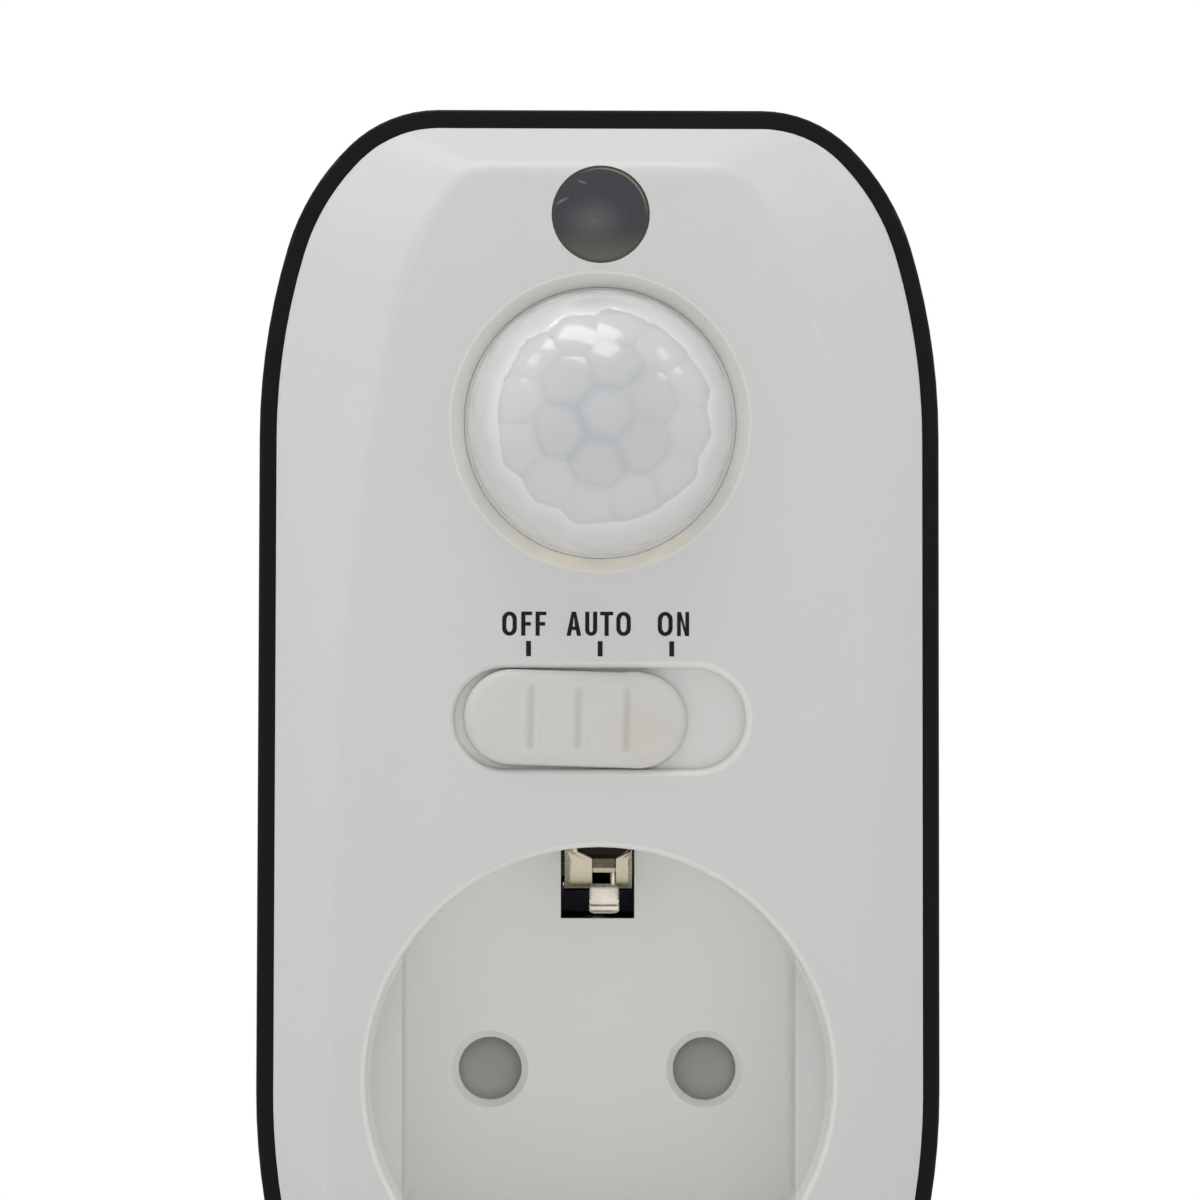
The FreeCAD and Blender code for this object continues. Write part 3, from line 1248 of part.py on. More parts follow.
def boxy_component(size, across, height):
    """Component in a rounded box on the back of the board."""
    length, width, thickness = size
    box = block(
        (across - length / 2, across + length / 2),
        (BOARD_BACK, BOARD_BACK + thickness),
        (height - width / 2, height + width / 2),
    )
    return rounded(box, BOARD_BACK + thickness, COMPONENT_EDGE_RADIUS)


def relay():
    return boxy_component(RELAY_SIZE, *from_left_edge(RELAY_LEFT_PLACE))


def dropper_capacitor():
    return boxy_component(DROPPER_SIZE, *from_right_edge(DROPPER_RIGHT_PLACE))


def bridge_rectifier():
    return boxy_component(RECTIFIER_SIZE, *from_right_edge(RECTIFIER_RIGHT_PLACE))


def control_chip():
    return boxy_component(CHIP_SIZE, 0.0, BOARD_TOP - CHIP_FROM_TOP)


def smoothing_capacitor():
    """Upright can with a crimped groove near its foot."""
    across, up = from_right_edge(SMOOTHING_RIGHT_PLACE)
    radius = SMOOTHING_DIAMETER / 2
    far = BOARD_BACK + SMOOTHING_LENGTH
    can = rounded(rod(radius, far, BOARD_BACK, across, up), far, COMPONENT_EDGE_RADIUS)
    crimp = Part.makeTorus(radius + COMPONENT_EDGE_RADIUS / 2, COMPONENT_EDGE_RADIUS)
    crimp.rotate(Vector(0, 0, 0), Vector(1, 0, 0), 90.0)
    crimp.translate(Vector(across, BOARD_BACK + 4 * COMPONENT_EDGE_RADIUS, up))
    return can.cut(crimp)


def varistor():
    """Disc on edge, seated on the board."""
    across, up = from_left_edge(VARISTOR_LEFT_PLACE)
    radius = VARISTOR_DIAMETER / 2
    place = Vector(across, BOARD_BACK + radius, up - VARISTOR_THICKNESS / 2)
    disc = Part.makeCylinder(radius, VARISTOR_THICKNESS, place, Vector(0, 0, 1))
    half_foot = radius / 2
    foot = block(
        (across - half_foot, across + half_foot),
        (BOARD_BACK, BOARD_BACK + radius),
        (up - VARISTOR_THICKNESS / 2, up + VARISTOR_THICKNESS / 2),
    )
    return joined([disc, foot])


def lying_resistor(diameter, length, across, up):
    """Resistor that lies on the board along X, with both leads bent down to it."""
    radius = diameter / 2
    depth = BOARD_BACK + radius
    body = Part.makeCylinder(radius, length, Vector(across - length / 2, depth, up), Vector(1, 0, 0))
    lead_radius = diameter / 8
    reach = length / 2 + 2 * lead_radius
    lead = Part.makeCylinder(lead_radius, 2 * reach, Vector(across - reach, depth, up), Vector(1, 0, 0))
    feet = [rod(lead_radius, depth, BOARD_BACK, across + side * reach, up) for side in (-1, 1)]
    knees = [Part.makeSphere(lead_radius, Vector(across + side * reach, depth, up)) for side in (-1, 1)]
    return joined([body, lead] + feet + knees)


def fuse_resistor():
    place = from_right_edge(FUSE_RESISTOR_RIGHT_PLACE)
    return lying_resistor(FUSE_RESISTOR_DIAMETER, FUSE_RESISTOR_LENGTH, *place)


def resistors():
    """Row of small resistors beside the control chip."""
    across = BOARD_NECK_HALF_WIDTH - RESISTOR_FROM_NECK_EDGE
    top = BOARD_TOP - RESISTOR_FROM_TOP
    return Part.makeCompound([
        lying_resistor(RESISTOR_DIAMETER, RESISTOR_LENGTH, across, top - step * RESISTOR_SPACING)
        for step in range(RESISTOR_COUNT)
    ])


def wire_run_depth():
    """Depth of the wires' upright runs, behind the socket floor."""
    return RECESS_FLOOR_BACK + STRIP_THICKNESS + WIRE_FLOOR_GAP + WIRE_DIAMETER / 4


def live_wire():
    """From the live pin's tail up inside the boss wall and forward to the board."""
    start = PIN_TAIL_DIAMETER / 2 + FIT_CLEARANCE
    depth = PIN_FLANGE_FACE - WIRE_CHANNEL_DEPTH / 2
    reach = BOSS_RADIUS - BOSS_WALL - WIRE_WALL_GAP - WIRE_DIAMETER / 2
    rise = math.sqrt(reach ** 2 - PIN_ACROSS ** 2)
    pad = BOARD_BOTTOM + WIRE_PAD_INSET
    return wire_tube(
        [
            (-PIN_ACROSS, depth, start),
            (-PIN_ACROSS, depth, rise),
            (-PIN_ACROSS, wire_run_depth(), rise),
            (-PIN_ACROSS, wire_run_depth(), pad),
            (-PIN_ACROSS, BOARD_BACK, pad),
        ],
        WIRE_BEND_RADIUS,
    )


def switched_wire():
    """From the live contact's tab, round the live wire, to the board beside the relay."""
    start = TAB_TOP - WIRE_DIAMETER / 2
    across = STRIP_WIDTH / 2 + WIRE_STRIP_GAP + WIRE_DIAMETER / 2
    turn = TAB_FRONT - WIRE_BEND_RADIUS - WIRE_DIAMETER
    depth = wire_run_depth() + SWITCHED_WIRE_SETBACK
    pad = BOARD_BOTTOM + SWITCHED_PAD_INSET
    return wire_tube(
        [
            (-PIN_ACROSS, TAB_FRONT, start),
            (-PIN_ACROSS, turn, start),
            (-across, depth, start + WIRE_BEND_RADIUS),
            (-across, depth - WIRE_DIAMETER, pad),
            (-across, BOARD_BACK, pad),
        ],
        WIRE_BEND_RADIUS,
    )


def neutral_wire():
    """From the neutral contact's tab forward and up to the board."""
    start = TAB_TOP - WIRE_DIAMETER / 2
    pad = BOARD_BOTTOM + WIRE_PAD_INSET
    return wire_tube(
        [
            (PIN_ACROSS, TAB_FRONT, start),
            (PIN_ACROSS, wire_run_depth(), start),
            (PIN_ACROSS, wire_run_depth(), pad),
            (PIN_ACROSS, BOARD_BACK, pad),
        ],
        WIRE_BEND_RADIUS,
    )


NODES = [
    front_cover,
    rear_cover,
    plug_pin_live,
    plug_pin_neutral,
    earth_strip_top,
    earth_strip_bottom,
    earth_bridge,
    live_contact,
    neutral_contact,
    contact_carrier,
    carrier_screws,
    safety_shutter,
    shutter_spring,
    pir_lens,
    lens_retaining_ring,
    light_window,
    light_sensor,
    light_shroud,
    pir_sensor,
    sensor_spacer,
    switch_knob,
    switch_lever,
    switch_frame,
    circuit_board,
    board_screws,
    case_screws,
    relay,
    dropper_capacitor,
    smoothing_capacitor,
    bridge_rectifier,
    control_chip,
    varistor,
    fuse_resistor,
    resistors,
    live_wire,
    switched_wire,
    neutral_wire,
]

os.makedirs("parts", exist_ok=True)
for make_node in NODES:
    make_node().exportStep("parts/" + make_node.__name__ + ".step")
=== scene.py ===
import json
import math

import bmesh
import bpy
from mathutils import Matrix, Vector

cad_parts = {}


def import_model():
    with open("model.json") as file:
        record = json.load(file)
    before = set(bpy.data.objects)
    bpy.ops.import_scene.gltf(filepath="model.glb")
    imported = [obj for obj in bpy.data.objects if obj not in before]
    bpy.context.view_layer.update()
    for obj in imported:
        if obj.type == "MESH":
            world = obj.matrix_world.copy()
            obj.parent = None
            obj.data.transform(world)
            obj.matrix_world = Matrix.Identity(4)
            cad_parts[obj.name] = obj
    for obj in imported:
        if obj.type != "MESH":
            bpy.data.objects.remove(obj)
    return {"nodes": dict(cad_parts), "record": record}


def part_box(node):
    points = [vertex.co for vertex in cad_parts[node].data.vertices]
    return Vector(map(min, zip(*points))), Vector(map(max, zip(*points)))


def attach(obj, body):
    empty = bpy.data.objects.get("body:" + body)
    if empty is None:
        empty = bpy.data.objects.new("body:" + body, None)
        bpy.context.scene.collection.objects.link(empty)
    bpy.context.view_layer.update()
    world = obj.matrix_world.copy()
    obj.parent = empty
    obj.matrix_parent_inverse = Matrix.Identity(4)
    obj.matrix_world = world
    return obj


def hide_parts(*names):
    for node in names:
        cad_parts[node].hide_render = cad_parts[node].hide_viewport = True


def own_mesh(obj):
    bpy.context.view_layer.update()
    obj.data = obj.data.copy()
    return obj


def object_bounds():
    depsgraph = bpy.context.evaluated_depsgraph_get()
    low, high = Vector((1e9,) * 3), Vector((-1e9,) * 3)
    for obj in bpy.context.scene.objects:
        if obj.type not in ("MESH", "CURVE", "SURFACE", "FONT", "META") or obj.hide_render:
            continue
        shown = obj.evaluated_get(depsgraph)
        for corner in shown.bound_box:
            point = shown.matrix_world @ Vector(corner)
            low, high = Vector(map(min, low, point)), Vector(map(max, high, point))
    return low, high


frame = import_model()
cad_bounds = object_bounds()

# Looks of the plug-in motion sensor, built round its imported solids. Metres, X to the right, Z up,
# and the front faces -Y. Values under "mm" headings are in millimetres, as in the part's source.
# A place is (across, depth, height), which are its X, Y and Z.

MM = 0.001
BLACK = (0.0, 0.0, 0.0, 1.0)
WHITE = (1.0, 1.0, 1.0, 1.0)

# Camera: straight in front, level with the upper edge of the socket, mm and degrees
CAMERA_PLACE = (-3.5, -430.0, 23.8)
CAMERA_AIM = (0.0, -50.0, 40.8)
CAMERA_SENSOR = 36.0
CAMERA_LENS = 134.1
CAMERA_ROLL = 0.11
CAMERA_NEAR = 10.0

# Lights: the surround all round, then (name, place, what it faces, width, height) in mm, its
# spread in degrees and its watts
WORLD_LIGHT = 0.47
LAMPS = (
    ("high_left_light", (-511.0, -169.0, 525.0), (0.0, -50.0, 50.0), 180.0, 180.0, 180.0, 0.22),
    ("high_right_light", (483.0, -162.0, 553.0), (0.0, -50.0, 50.0), 180.0, 180.0, 180.0, 0.22),
    ("top_light", (-112.0, -195.0, 721.0), (0.0, -50.0, 50.0), 600.0, 300.0, 180.0, 1.95),
    ("left_light", (-660.0, -240.0, 190.0), (0.0, -50.0, 30.0), 800.0, 800.0, 180.0, 0.56),
    ("right_light", (660.0, -240.0, 190.0), (0.0, -50.0, 30.0), 800.0, 800.0, 180.0, 0.62),
    ("floor_light", (0.0, -300.0, 170.0), (0.0, -300.0, -30.0), 160.0, 160.0, 80.0, 0.25),
)

# Floor: half its size, and how far out it starts to fade and is all white, mm
FLOOR_HALF_SIZE = 3000.0
FLOOR_FADE_START = 70.0
FLOOR_FADE_END = 160.0

# Sizes that the imported solids have too, mm. Faces of the shell that look forward from behind
# INSIDE_DEPTH are its walls inside, which get painted light.
LENS_RADIUS = 11.5
LENS_WALL = 0.8
DISH_RADIUS = 12.75
SLOT_STRAIGHT = 8.1
SLOT_RADIUS = 4.3
SOCKET_RADIUS = 19.8
KNOB_HALF_WIDTH = 4.05
INSIDE_DEPTH = -31.0

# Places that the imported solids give, mm
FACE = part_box("light_window")[0].y / MM
FACE_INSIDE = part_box("pir_lens")[1].y / MM - LENS_WALL
LENS_LOW, LENS_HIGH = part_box("pir_lens")
LENS_HEIGHT = (LENS_LOW.z + LENS_HIGH.z) / 2 / MM
LENS_APEX = FACE_INSIDE - LENS_LOW.y / MM
LENS_FLANGE_RADIUS = (LENS_HIGH.x - LENS_LOW.x) / 2 / MM
KNOB_LOW, KNOB_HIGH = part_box("switch_knob")
KNOB_ACROSS = (KNOB_LOW.x + KNOB_HIGH.x) / 2 / MM
KNOB_LENGTH = (KNOB_HIGH.x - KNOB_LOW.x) / MM
KNOB_HEIGHT = (KNOB_LOW.z + KNOB_HIGH.z) / 2 / MM
KNOB_TOP = KNOB_LOW.y / MM
WINDOW_LOW, WINDOW_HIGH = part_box("light_window")
WINDOW_HEIGHT = (WINDOW_LOW.z + WINDOW_HIGH.z) / 2 / MM
WINDOW_RADIUS = (WINDOW_HIGH.x - WINDOW_LOW.x) / 2 / MM
FLOOR_LEVEL = cad_bounds[0].z / MM

# Lens cells, degrees: each ring is (angle from the axis, count, turn of its first cell). The first
# rings make the middle, and those after the clear ones make the skirt. LENS_LEAN turns all cells
# aside, and their relief is full at CELL_REACH from their middles.
CELL_RINGS = (
    (0.0, 1, 0.0), (22.6, 6, 20.3), (43.0, 6, 20.3), (41.0, 6, 50.3), (63.5, 15, 2.7), (87.0, 15, 14.7)
)
MIDDLE_RINGS = 2
CLEAR_RINGS = 4
LENS_LEAN = 2.2
CELL_REACH = 11.3

# Borders of the cells, which carry painted shade: their widths in degrees, and how strongly
# those of each clear ring show
SOFT_EDGE = 11.0
CELL_EDGE = 8.0
SKIRT_EDGE = 16.0
BORDER_SHARES = (1.0, 0.85, 0.42, 0.42)

# Relief of the cells and foot of the lens in its hole, mm
CELL_RELIEF = 0.14
SKIRT_RELIEF = 0.06
LENS_FOOT_RADIUS = 11.61
LENS_FOOT_FRONT = -49.3
LENS_FOOT_BLEND = 0.1

# Mesh of the lens: rings from the middle out, steps round, rings of its hollow, and the angle in
# degrees above which an edge is sharp
LENS_RINGS = 160
LENS_SEGMENTS = 320
LENS_INNER_RINGS = 12
LENS_SHARP_ANGLE = 50.0

# Tones that the points of the lens carry to its material, for its painted shade along the borders of
# the cells and its painted light on the skirt
LENS_TONES = ("cell_border", "cell_skirt", "cell_middle")

# Knob, mm, and its turn in the slot in degrees. The edge's fall is a share of the edge, and a lip's
# place is counted in half widths of the groove.
KNOB_TILT = 1.6
KNOB_FOOT = -49.0
KNOB_DRAFT = 0.09
KNOB_EDGE = 1.1
KNOB_EDGE_FALL = 0.8
KNOB_CROWN = 0.12
KNOB_GROOVES = (-3.75, 0.3, 4.4)
KNOB_GROOVE_HALF_LENGTH = 2.9
KNOB_GROOVE_FADE = 0.5
KNOB_GROOVE_WIDTH = 0.5
KNOB_GROOVE_DEPTH = 0.3
KNOB_LIP_HEIGHT = 0.1
KNOB_LIP_PLACE = 2.6

# Burr on the knob's upper edge, and the stem behind it, mm
KNOB_BURR_MIDDLE = 4.9
KNOB_BURR_REACH = 0.75
KNOB_BURR_HEIGHT = 0.1
KNOB_STEM_LENGTH = 5.8
KNOB_STEM_WIDTH = 4.6
KNOB_STEM_END = -45.5

# Mesh of the knob: least half width at its ends in mm, and steps along and across
KNOB_LEAST_HALF = 0.002
KNOB_COLUMNS = 240
KNOB_ROWS = 60

# Lettering on the face, mm: each letter is (letter, left edge, width), in reading order
CAP_TOP = 39.8
CAP_HEIGHT = 2.06
LETTERING_SHIFT = -0.05
STROKE = 0.36
INK_THICKNESS = 0.015
LETTERS = (
    ("O", -8.27, 1.25), ("F", -6.65, 0.92), ("F", -5.43, 0.92),
    ("A", -2.80, 1.26), ("U", -1.21, 1.03), ("T", 0.06, 1.12), ("O", 1.44, 1.24),
    ("O", 4.97, 1.27), ("N", 6.61, 1.03),
)
TICKS = (-6.02, 0.07, 6.16)
TICK_TOP = 37.30
TICK_HEIGHT = 1.3
TICK_WIDTH = 0.42

# Front of an earth clip, mm: edges of its wings, strap, hole and tongue, and their heights
CLIP_FRONT = -44.7
CLIP_CUT = -25.5
CLIP_LEFT = -2.95
CLIP_STRAP = (-0.58, 1.46)
CLIP_RIGHT = 2.85
CLIP_SHOULDER = 18.75
CLIP_WING_TOP = 19.7
CLIP_WING_FOOT = 16.2
CLIP_HOLE_SIDE = 1.0
CLIP_HOLE_TOP = 17.56
CLIP_HOLE_FOOT = 16.63
CLIP_TONGUE = (-0.83, 1.73)
CLIP_SHEET = 0.3

# Side views of the clip's tongue and leg, mm: (depth, height) from their upper or front end on
CLIP_TONGUE_RUN = (
    (-44.55, 16.63), (-44.8, 16.3), (-45.2, 15.1), (-45.12, 14.86), (-45.3, 14.65), (-45.25, 14.35),
    (-45.0, 14.14), (-44.5, 14.06), (-42.2, 14.2), (-36.7, 14.4)
)
CLIP_LEG_RUN = ((-43.4, 18.75), (-26.8, 18.4), (-25.3, 17.2))

# Points of a mesh that are closer than this are one, mm
WELD = 0.0001

# Rounded edges: widths and weld in mm, and the angle in degrees above which an edge is rounded
COVER_ROUNDING = 0.15
STRIP_ROUNDING = 0.12
ROUNDING_WELD = 0.001
ROUNDING_STEPS = 2
ROUNDING_ANGLE = 35.0

# Levels between which a noise works, and detail of the noise that makes a gloss uneven
NOISE_LOW = 0.3
NOISE_HIGH = 0.7
GLOSS_DETAIL = 5.0

# Materials by name, and solids of the part by name
materials = {}
nodes = frame["nodes"]


def srgb(*parts):
    """Linear colour of an 8-bit display colour, given as red, green and blue."""
    def linear(share):
        return share / 12.92 if share <= 0.04045 else ((share + 0.055) / 1.055) ** 2.4
    return tuple(linear(part / 255) for part in parts) + (1.0,)


def at(across, depth, height):
    """Point in metres from millimetres."""
    return Vector((across, depth, height)) * MM


def new_material(name, constants=()):
    """New node material, with constants on its shader: (node tree, shader)."""
    material = bpy.data.materials.new(name)
    material.use_nodes = True
    tree = material.node_tree
    shader = tree.nodes["Principled BSDF"]
    for socket, value in constants:
        shader.inputs[socket].default_value = value
    materials[name] = material
    return tree, shader


def add(tree, kind, inputs=(), **settings):
    """New node with its settings and its inputs, given as (name or number, value or socket)."""
    node = tree.nodes.new(kind)
    for name, value in settings.items():
        setattr(node, name, value)
    for name, value in inputs:
        if isinstance(value, bpy.types.NodeSocket):
            tree.links.new(value, node.inputs[name])
        else:
            node.inputs[name].default_value = value
    return node


def maths(tree, operation, *values):
    """Output of a maths node."""
    return add(tree, "ShaderNodeMath", list(enumerate(values)), operation=operation).outputs[0]


def position(tree):
    """Place on the object, which for every piece is its place in the part."""
    return add(tree, "ShaderNodeTexCoord").outputs["Object"]


def axes(tree):
    """Across, depth and height of the place on the object, in metres."""
    return add(tree, "ShaderNodeSeparateXYZ", [(0, position(tree))]).outputs


def product(tree, *values):
    """Output of multiplying values."""
    total = values[0]
    for value in values[1:]:
        total = maths(tree, "MULTIPLY", total, value)
    return total


def noise(tree, size, detail=3.0, squeeze=None):
    """Noise with features of a size in mm, made shorter along each axis as squeeze says."""
    place = position(tree)
    if squeeze:
        place = add(tree, "ShaderNodeMapping", [("Vector", place), ("Scale", squeeze)]).outputs[0]
    inputs = [("Vector", place), ("Scale", 1 / (size * MM)), ("Detail", detail)]
    return add(tree, "ShaderNodeTexNoise", inputs).outputs[0]


def ranged(tree, value, low, high, new_low, new_high, interpolation="LINEAR"):
    """Value taken from one range to another and held at its ends."""
    inputs = [
        ("Value", value), ("From Min", low), ("From Max", high), ("To Min", new_low), ("To Max", new_high)
    ]
    return add(tree, "ShaderNodeMapRange", inputs, interpolation_type=interpolation).outputs[0]


def cloud(tree, low, high, size, detail=3.0):
    """Soft noise between two values, with features of a size in mm."""
    return ranged(tree, noise(tree, size, detail), NOISE_LOW, NOISE_HIGH, low, high)


def mixed(tree, factor, first, second):
    """Colour between two others."""
    inputs = [("Factor", factor), (6, first), (7, second)]
    return add(tree, "ShaderNodeMix", inputs, data_type="RGBA").outputs[2]


def feed(tree, shader, name, output):
    """Links an output to a socket of the shader."""
    tree.links.new(output, shader.inputs[name])


def bumped(tree, shader, height, depth):
    """Bump of a depth in mm on the shader's normal."""
    inputs = [("Height", height), ("Distance", depth * MM), ("Strength", 1.0)]
    feed(tree, shader, "Normal", add(tree, "ShaderNodeBump", inputs).outputs[0])


def shade(colour, factor):
    """The colour made lighter or darker."""
    return tuple(part * factor for part in colour[:3]) + (1.0,)


def toned(tree, base, tones):
    """Colour changed by each of the tones in turn."""
    for tone in tones:
        base = tone(tree, base)
    return base


def plastic(name, colour, roughness, grain=0.12, grain_depth=0.002, variation=0.03, gleam=0.5, tones=()):
    """Moulded plastic: fine grain, soft mottling and uneven gloss."""
    tree, shader = new_material(name, [("Specular IOR Level", gleam)])
    spread = 0.04
    mottle = noise(tree, size=9.0)
    base = mixed(tree, mottle, shade(colour, 1 - variation), shade(colour, 1 + variation))
    gloss = cloud(tree, roughness - spread, roughness + spread, size=4.0, detail=GLOSS_DETAIL)
    feed(tree, shader, "Base Color", toned(tree, base, tones))
    feed(tree, shader, "Roughness", gloss)
    bumped(tree, shader, noise(tree, size=grain, detail=2.0), grain_depth)


def metal(name, colour, roughness, squeeze=(1, 1, 12), tones=()):
    """Plated or drawn metal: faint drawing lines, tarnish in patches and uneven polish."""
    tree, shader = new_material(name, [("Metallic", 1.0)])
    polished = 0.06
    dulled = 0.1
    tarnish = ranged(tree, noise(tree, size=3.0, detail=GLOSS_DETAIL), 0.42, 0.68, 0.0, 1.0)
    base = mixed(tree, tarnish, colour, shade(colour, 0.8))
    lines = noise(tree, size=0.5, detail=4.0, squeeze=squeeze)
    gloss = ranged(tree, lines, NOISE_LOW, NOISE_HIGH, roughness - polished, roughness + dulled)
    feed(tree, shader, "Base Color", toned(tree, base, tones))
    feed(tree, shader, "Roughness", gloss)
    bumped(tree, shader, lines, depth=0.002)


def slanting(tree, side, up):
    """Length of the slanting line over a side and an upright."""
    squares = maths(tree, "ADD", maths(tree, "POWER", side, 2.0), maths(tree, "POWER", up, 2.0))
    return maths(tree, "SQRT", squares)


def distance_from(tree, across, height, squash=1.0):
    """Distance in mm from a line along Y; squash below 1 makes the round wide across."""
    parts = axes(tree)
    side = product(tree, maths(tree, "SUBTRACT", parts[0], across * MM), squash / MM)
    up = maths(tree, "DIVIDE", maths(tree, "SUBTRACT", parts[2], height * MM), MM)
    return slanting(tree, side, up)


def band(tree, value, low, high, soft):
    """1 between two values in mm, falling to 0 over a soft edge on each side."""
    inside = ranged(tree, value, low - soft, low, 0.0, 1.0)
    return product(tree, inside, ranged(tree, value, high, high + soft, 1.0, 0.0))


def slot_distance(tree):
    """Distance in mm from the middle line of the switch slot."""
    parts = axes(tree)
    side = maths(tree, "SUBTRACT", maths(tree, "ABSOLUTE", parts[0]), SLOT_STRAIGHT * MM)
    past = maths(tree, "MAXIMUM", side, 0.0)
    up = maths(tree, "SUBTRACT", parts[2], KNOB_HEIGHT * MM)
    return maths(tree, "DIVIDE", slanting(tree, past, up), MM)


def hollow_painted_light_tones(tree, base):
    """Painted light: walls deep in the socket made paler, lifting their shade."""
    start = FACE + 8.0
    full = FACE + 15.0
    deep = ranged(tree, axes(tree)[1], start * MM, full * MM, 0.0, 1.0)
    # painted light: the deeper in the socket, the paler the wall, against its shade
    return mixed(tree, deep, base, srgb(246, 247, 243))


def edge_painted_highlights(tree, base):
    """Painted highlights on the edges of the socket and of the slot, where the slot's is strongest on the
    right.
    """
    strength = ranged(tree, axes(tree)[0], -8.0 * MM, 9.0 * MM, 0.12, 0.42)
    slot_edge = band(tree, slot_distance(tree), SLOT_RADIUS + 0.15, SLOT_RADIUS + 0.5, 0.15)
    ring = distance_from(tree, 0.0, 0.0)
    socket_edge = product(tree, band(tree, ring, SOCKET_RADIUS - 0.2, SOCKET_RADIUS + 0.3, 0.2), 0.5)
    pale = maths(tree, "MAXIMUM", product(tree, slot_edge, strength), socket_edge)
    # painted highlight along the rounded edges of the socket and of the slot
    return mixed(tree, pale, base, srgb(244, 245, 238))


def slot_painted_light_tones(tree, base):
    """Painted light on the floor of the slot, lifting its shade, most of all in the narrow gap at its left
    end.
    """
    inside = ranged(tree, slot_distance(tree), SLOT_RADIUS - 0.1, SLOT_RADIUS + 0.1, 1.0, 0.0)
    strength = ranged(tree, axes(tree)[0], -8.5 * MM, -11.0 * MM, 0.25, 0.75)
    # painted light: paler floor where the gap beside the knob is in shade
    return mixed(tree, product(tree, inside, strength), base, srgb(240, 241, 237))


def dish_painted_light_and_shade(tree, base):
    """Dish round the lens with painted light and shade: faintly greenish and paler against its shade, a
    painted highlight on its rim, painted shade above the lens, and warm painted light and reflection in
    patches below it.
    """
    height = axes(tree)[2]
    ring = distance_from(tree, 0.0, LENS_HEIGHT)
    dish = band(tree, ring, LENS_RADIUS - 1.0, DISH_RADIUS - 0.05, 0.1)
    # painted light: the dish paler, against its shade round the lens
    base = mixed(tree, dish, base, srgb(229, 230, 222))
    rim = product(tree, band(tree, ring, DISH_RADIUS - 0.02, DISH_RADIUS + 0.1, 0.12), 0.4)
    # painted highlight on the dish's outer rim
    base = mixed(tree, rim, base, srgb(236, 237, 230))
    painted_shade_from = LENS_HEIGHT + 5.0
    painted_shade_full = LENS_HEIGHT + 11.0
    painted_shade = product(tree, dish, ranged(tree, height, painted_shade_from * MM, painted_shade_full * MM, 0.0, 0.8))
    # painted shade on the dish above the lens
    base = mixed(tree, painted_shade, base, srgb(217, 218, 211))
    warm_light_from = LENS_HEIGHT - 7.0
    warm_light_full = LENS_HEIGHT - 11.5
    low = ranged(tree, height, warm_light_from * MM, warm_light_full * MM, 0.0, 1.0)
    patches = ranged(tree, noise(tree, 3.5, 2.0), 0.4, 0.6, 0.45, 1.0)
    # warm painted light and reflection in patches on the dish below the lens
    return mixed(tree, product(tree, dish, low, patches), base, srgb(252, 245, 231))


def dust_and_inside_painted_light(tree, base):
    """Trace of dust on the black, and painted light on the walls inside that face forward, lifting their
    shade.
    """
    dust = ranged(tree, noise(tree, 0.35, 6.0), 0.66, 0.78, 0.0, 0.35)
    dusty = mixed(tree, dust, base, srgb(60, 60, 64))
    normal = add(tree, "ShaderNodeTexCoord").outputs["Normal"]
    depth_part = add(tree, "ShaderNodeSeparateXYZ", [(0, normal)]).outputs[1]
    forward = maths(tree, "LESS_THAN", depth_part, -0.5)
    inside = maths(tree, "GREATER_THAN", axes(tree)[1], INSIDE_DEPTH * MM)
    # painted light on the walls inside the shell that face forward
    return mixed(tree, product(tree, forward, inside), dusty, srgb(140, 134, 156))


def inside_painted_shade_tones(tree, base):
    """Painted shade on the nickel inside the housing, where the pins outside stay bright."""
    depth = maths(tree, "DIVIDE", axes(tree)[1], MM)
    back = -21.0
    inside = band(tree, depth, INSIDE_DEPTH - 3.0, back, 2.0)
    # painted shade: nickel darkened inside the housing
    return mixed(tree, inside, base, srgb(60, 55, 52))


def clip_painted_shade_tones(tree, base):
    """Painted shade on the nickel of the clips' fronts, standing in for the dark they reflect: the tongue
    stays brightest, the wings are darker and their feet darkest.
    """
    painted_shade = add(tree, "ShaderNodeAttribute", attribute_name="painted_shade").outputs["Fac"]
    # painted shade: the wings darker than the tongue
    clip_painted_shade = mixed(tree, ranged(tree, painted_shade, 0.0, 0.5, 0.0, 1.0), base, srgb(188, 179, 156))
    # painted shade: darkest at the wings' feet, where they turn back
    return mixed(tree, ranged(tree, painted_shade, 0.5, 1.0, 0.0, 1.0), clip_painted_shade, srgb(96, 90, 58))


def cell_colour_and_painted_shade(tree):
    """Milky white with cool, uneven painted shade along the cell borders, darker middle cells, and a whiter
    skirt that is partly painted light.
    """
    border, skirt, middle = (
        add(tree, "ShaderNodeAttribute", attribute_name=name).outputs["Fac"] for name in LENS_TONES
    )
    uneven = ranged(tree, noise(tree, 5.0, 2.0), 0.35, 0.65, 0.35, 1.0)
    soft = product(tree, maths(tree, "POWER", border, 1.5), uneven)
    clear = mixed(tree, middle, srgb(211, 211, 212), srgb(205, 205, 206))
    # painted shade, cool and uneven, along the borders of the cells
    clear = mixed(tree, soft, clear, srgb(182, 190, 194))
    # whiter skirt, partly painted light, palest next to the clear cells as a painted highlight
    pale = mixed(tree, border, srgb(216, 216, 216), srgb(226, 226, 224))
    return mixed(tree, skirt, clear, pale)


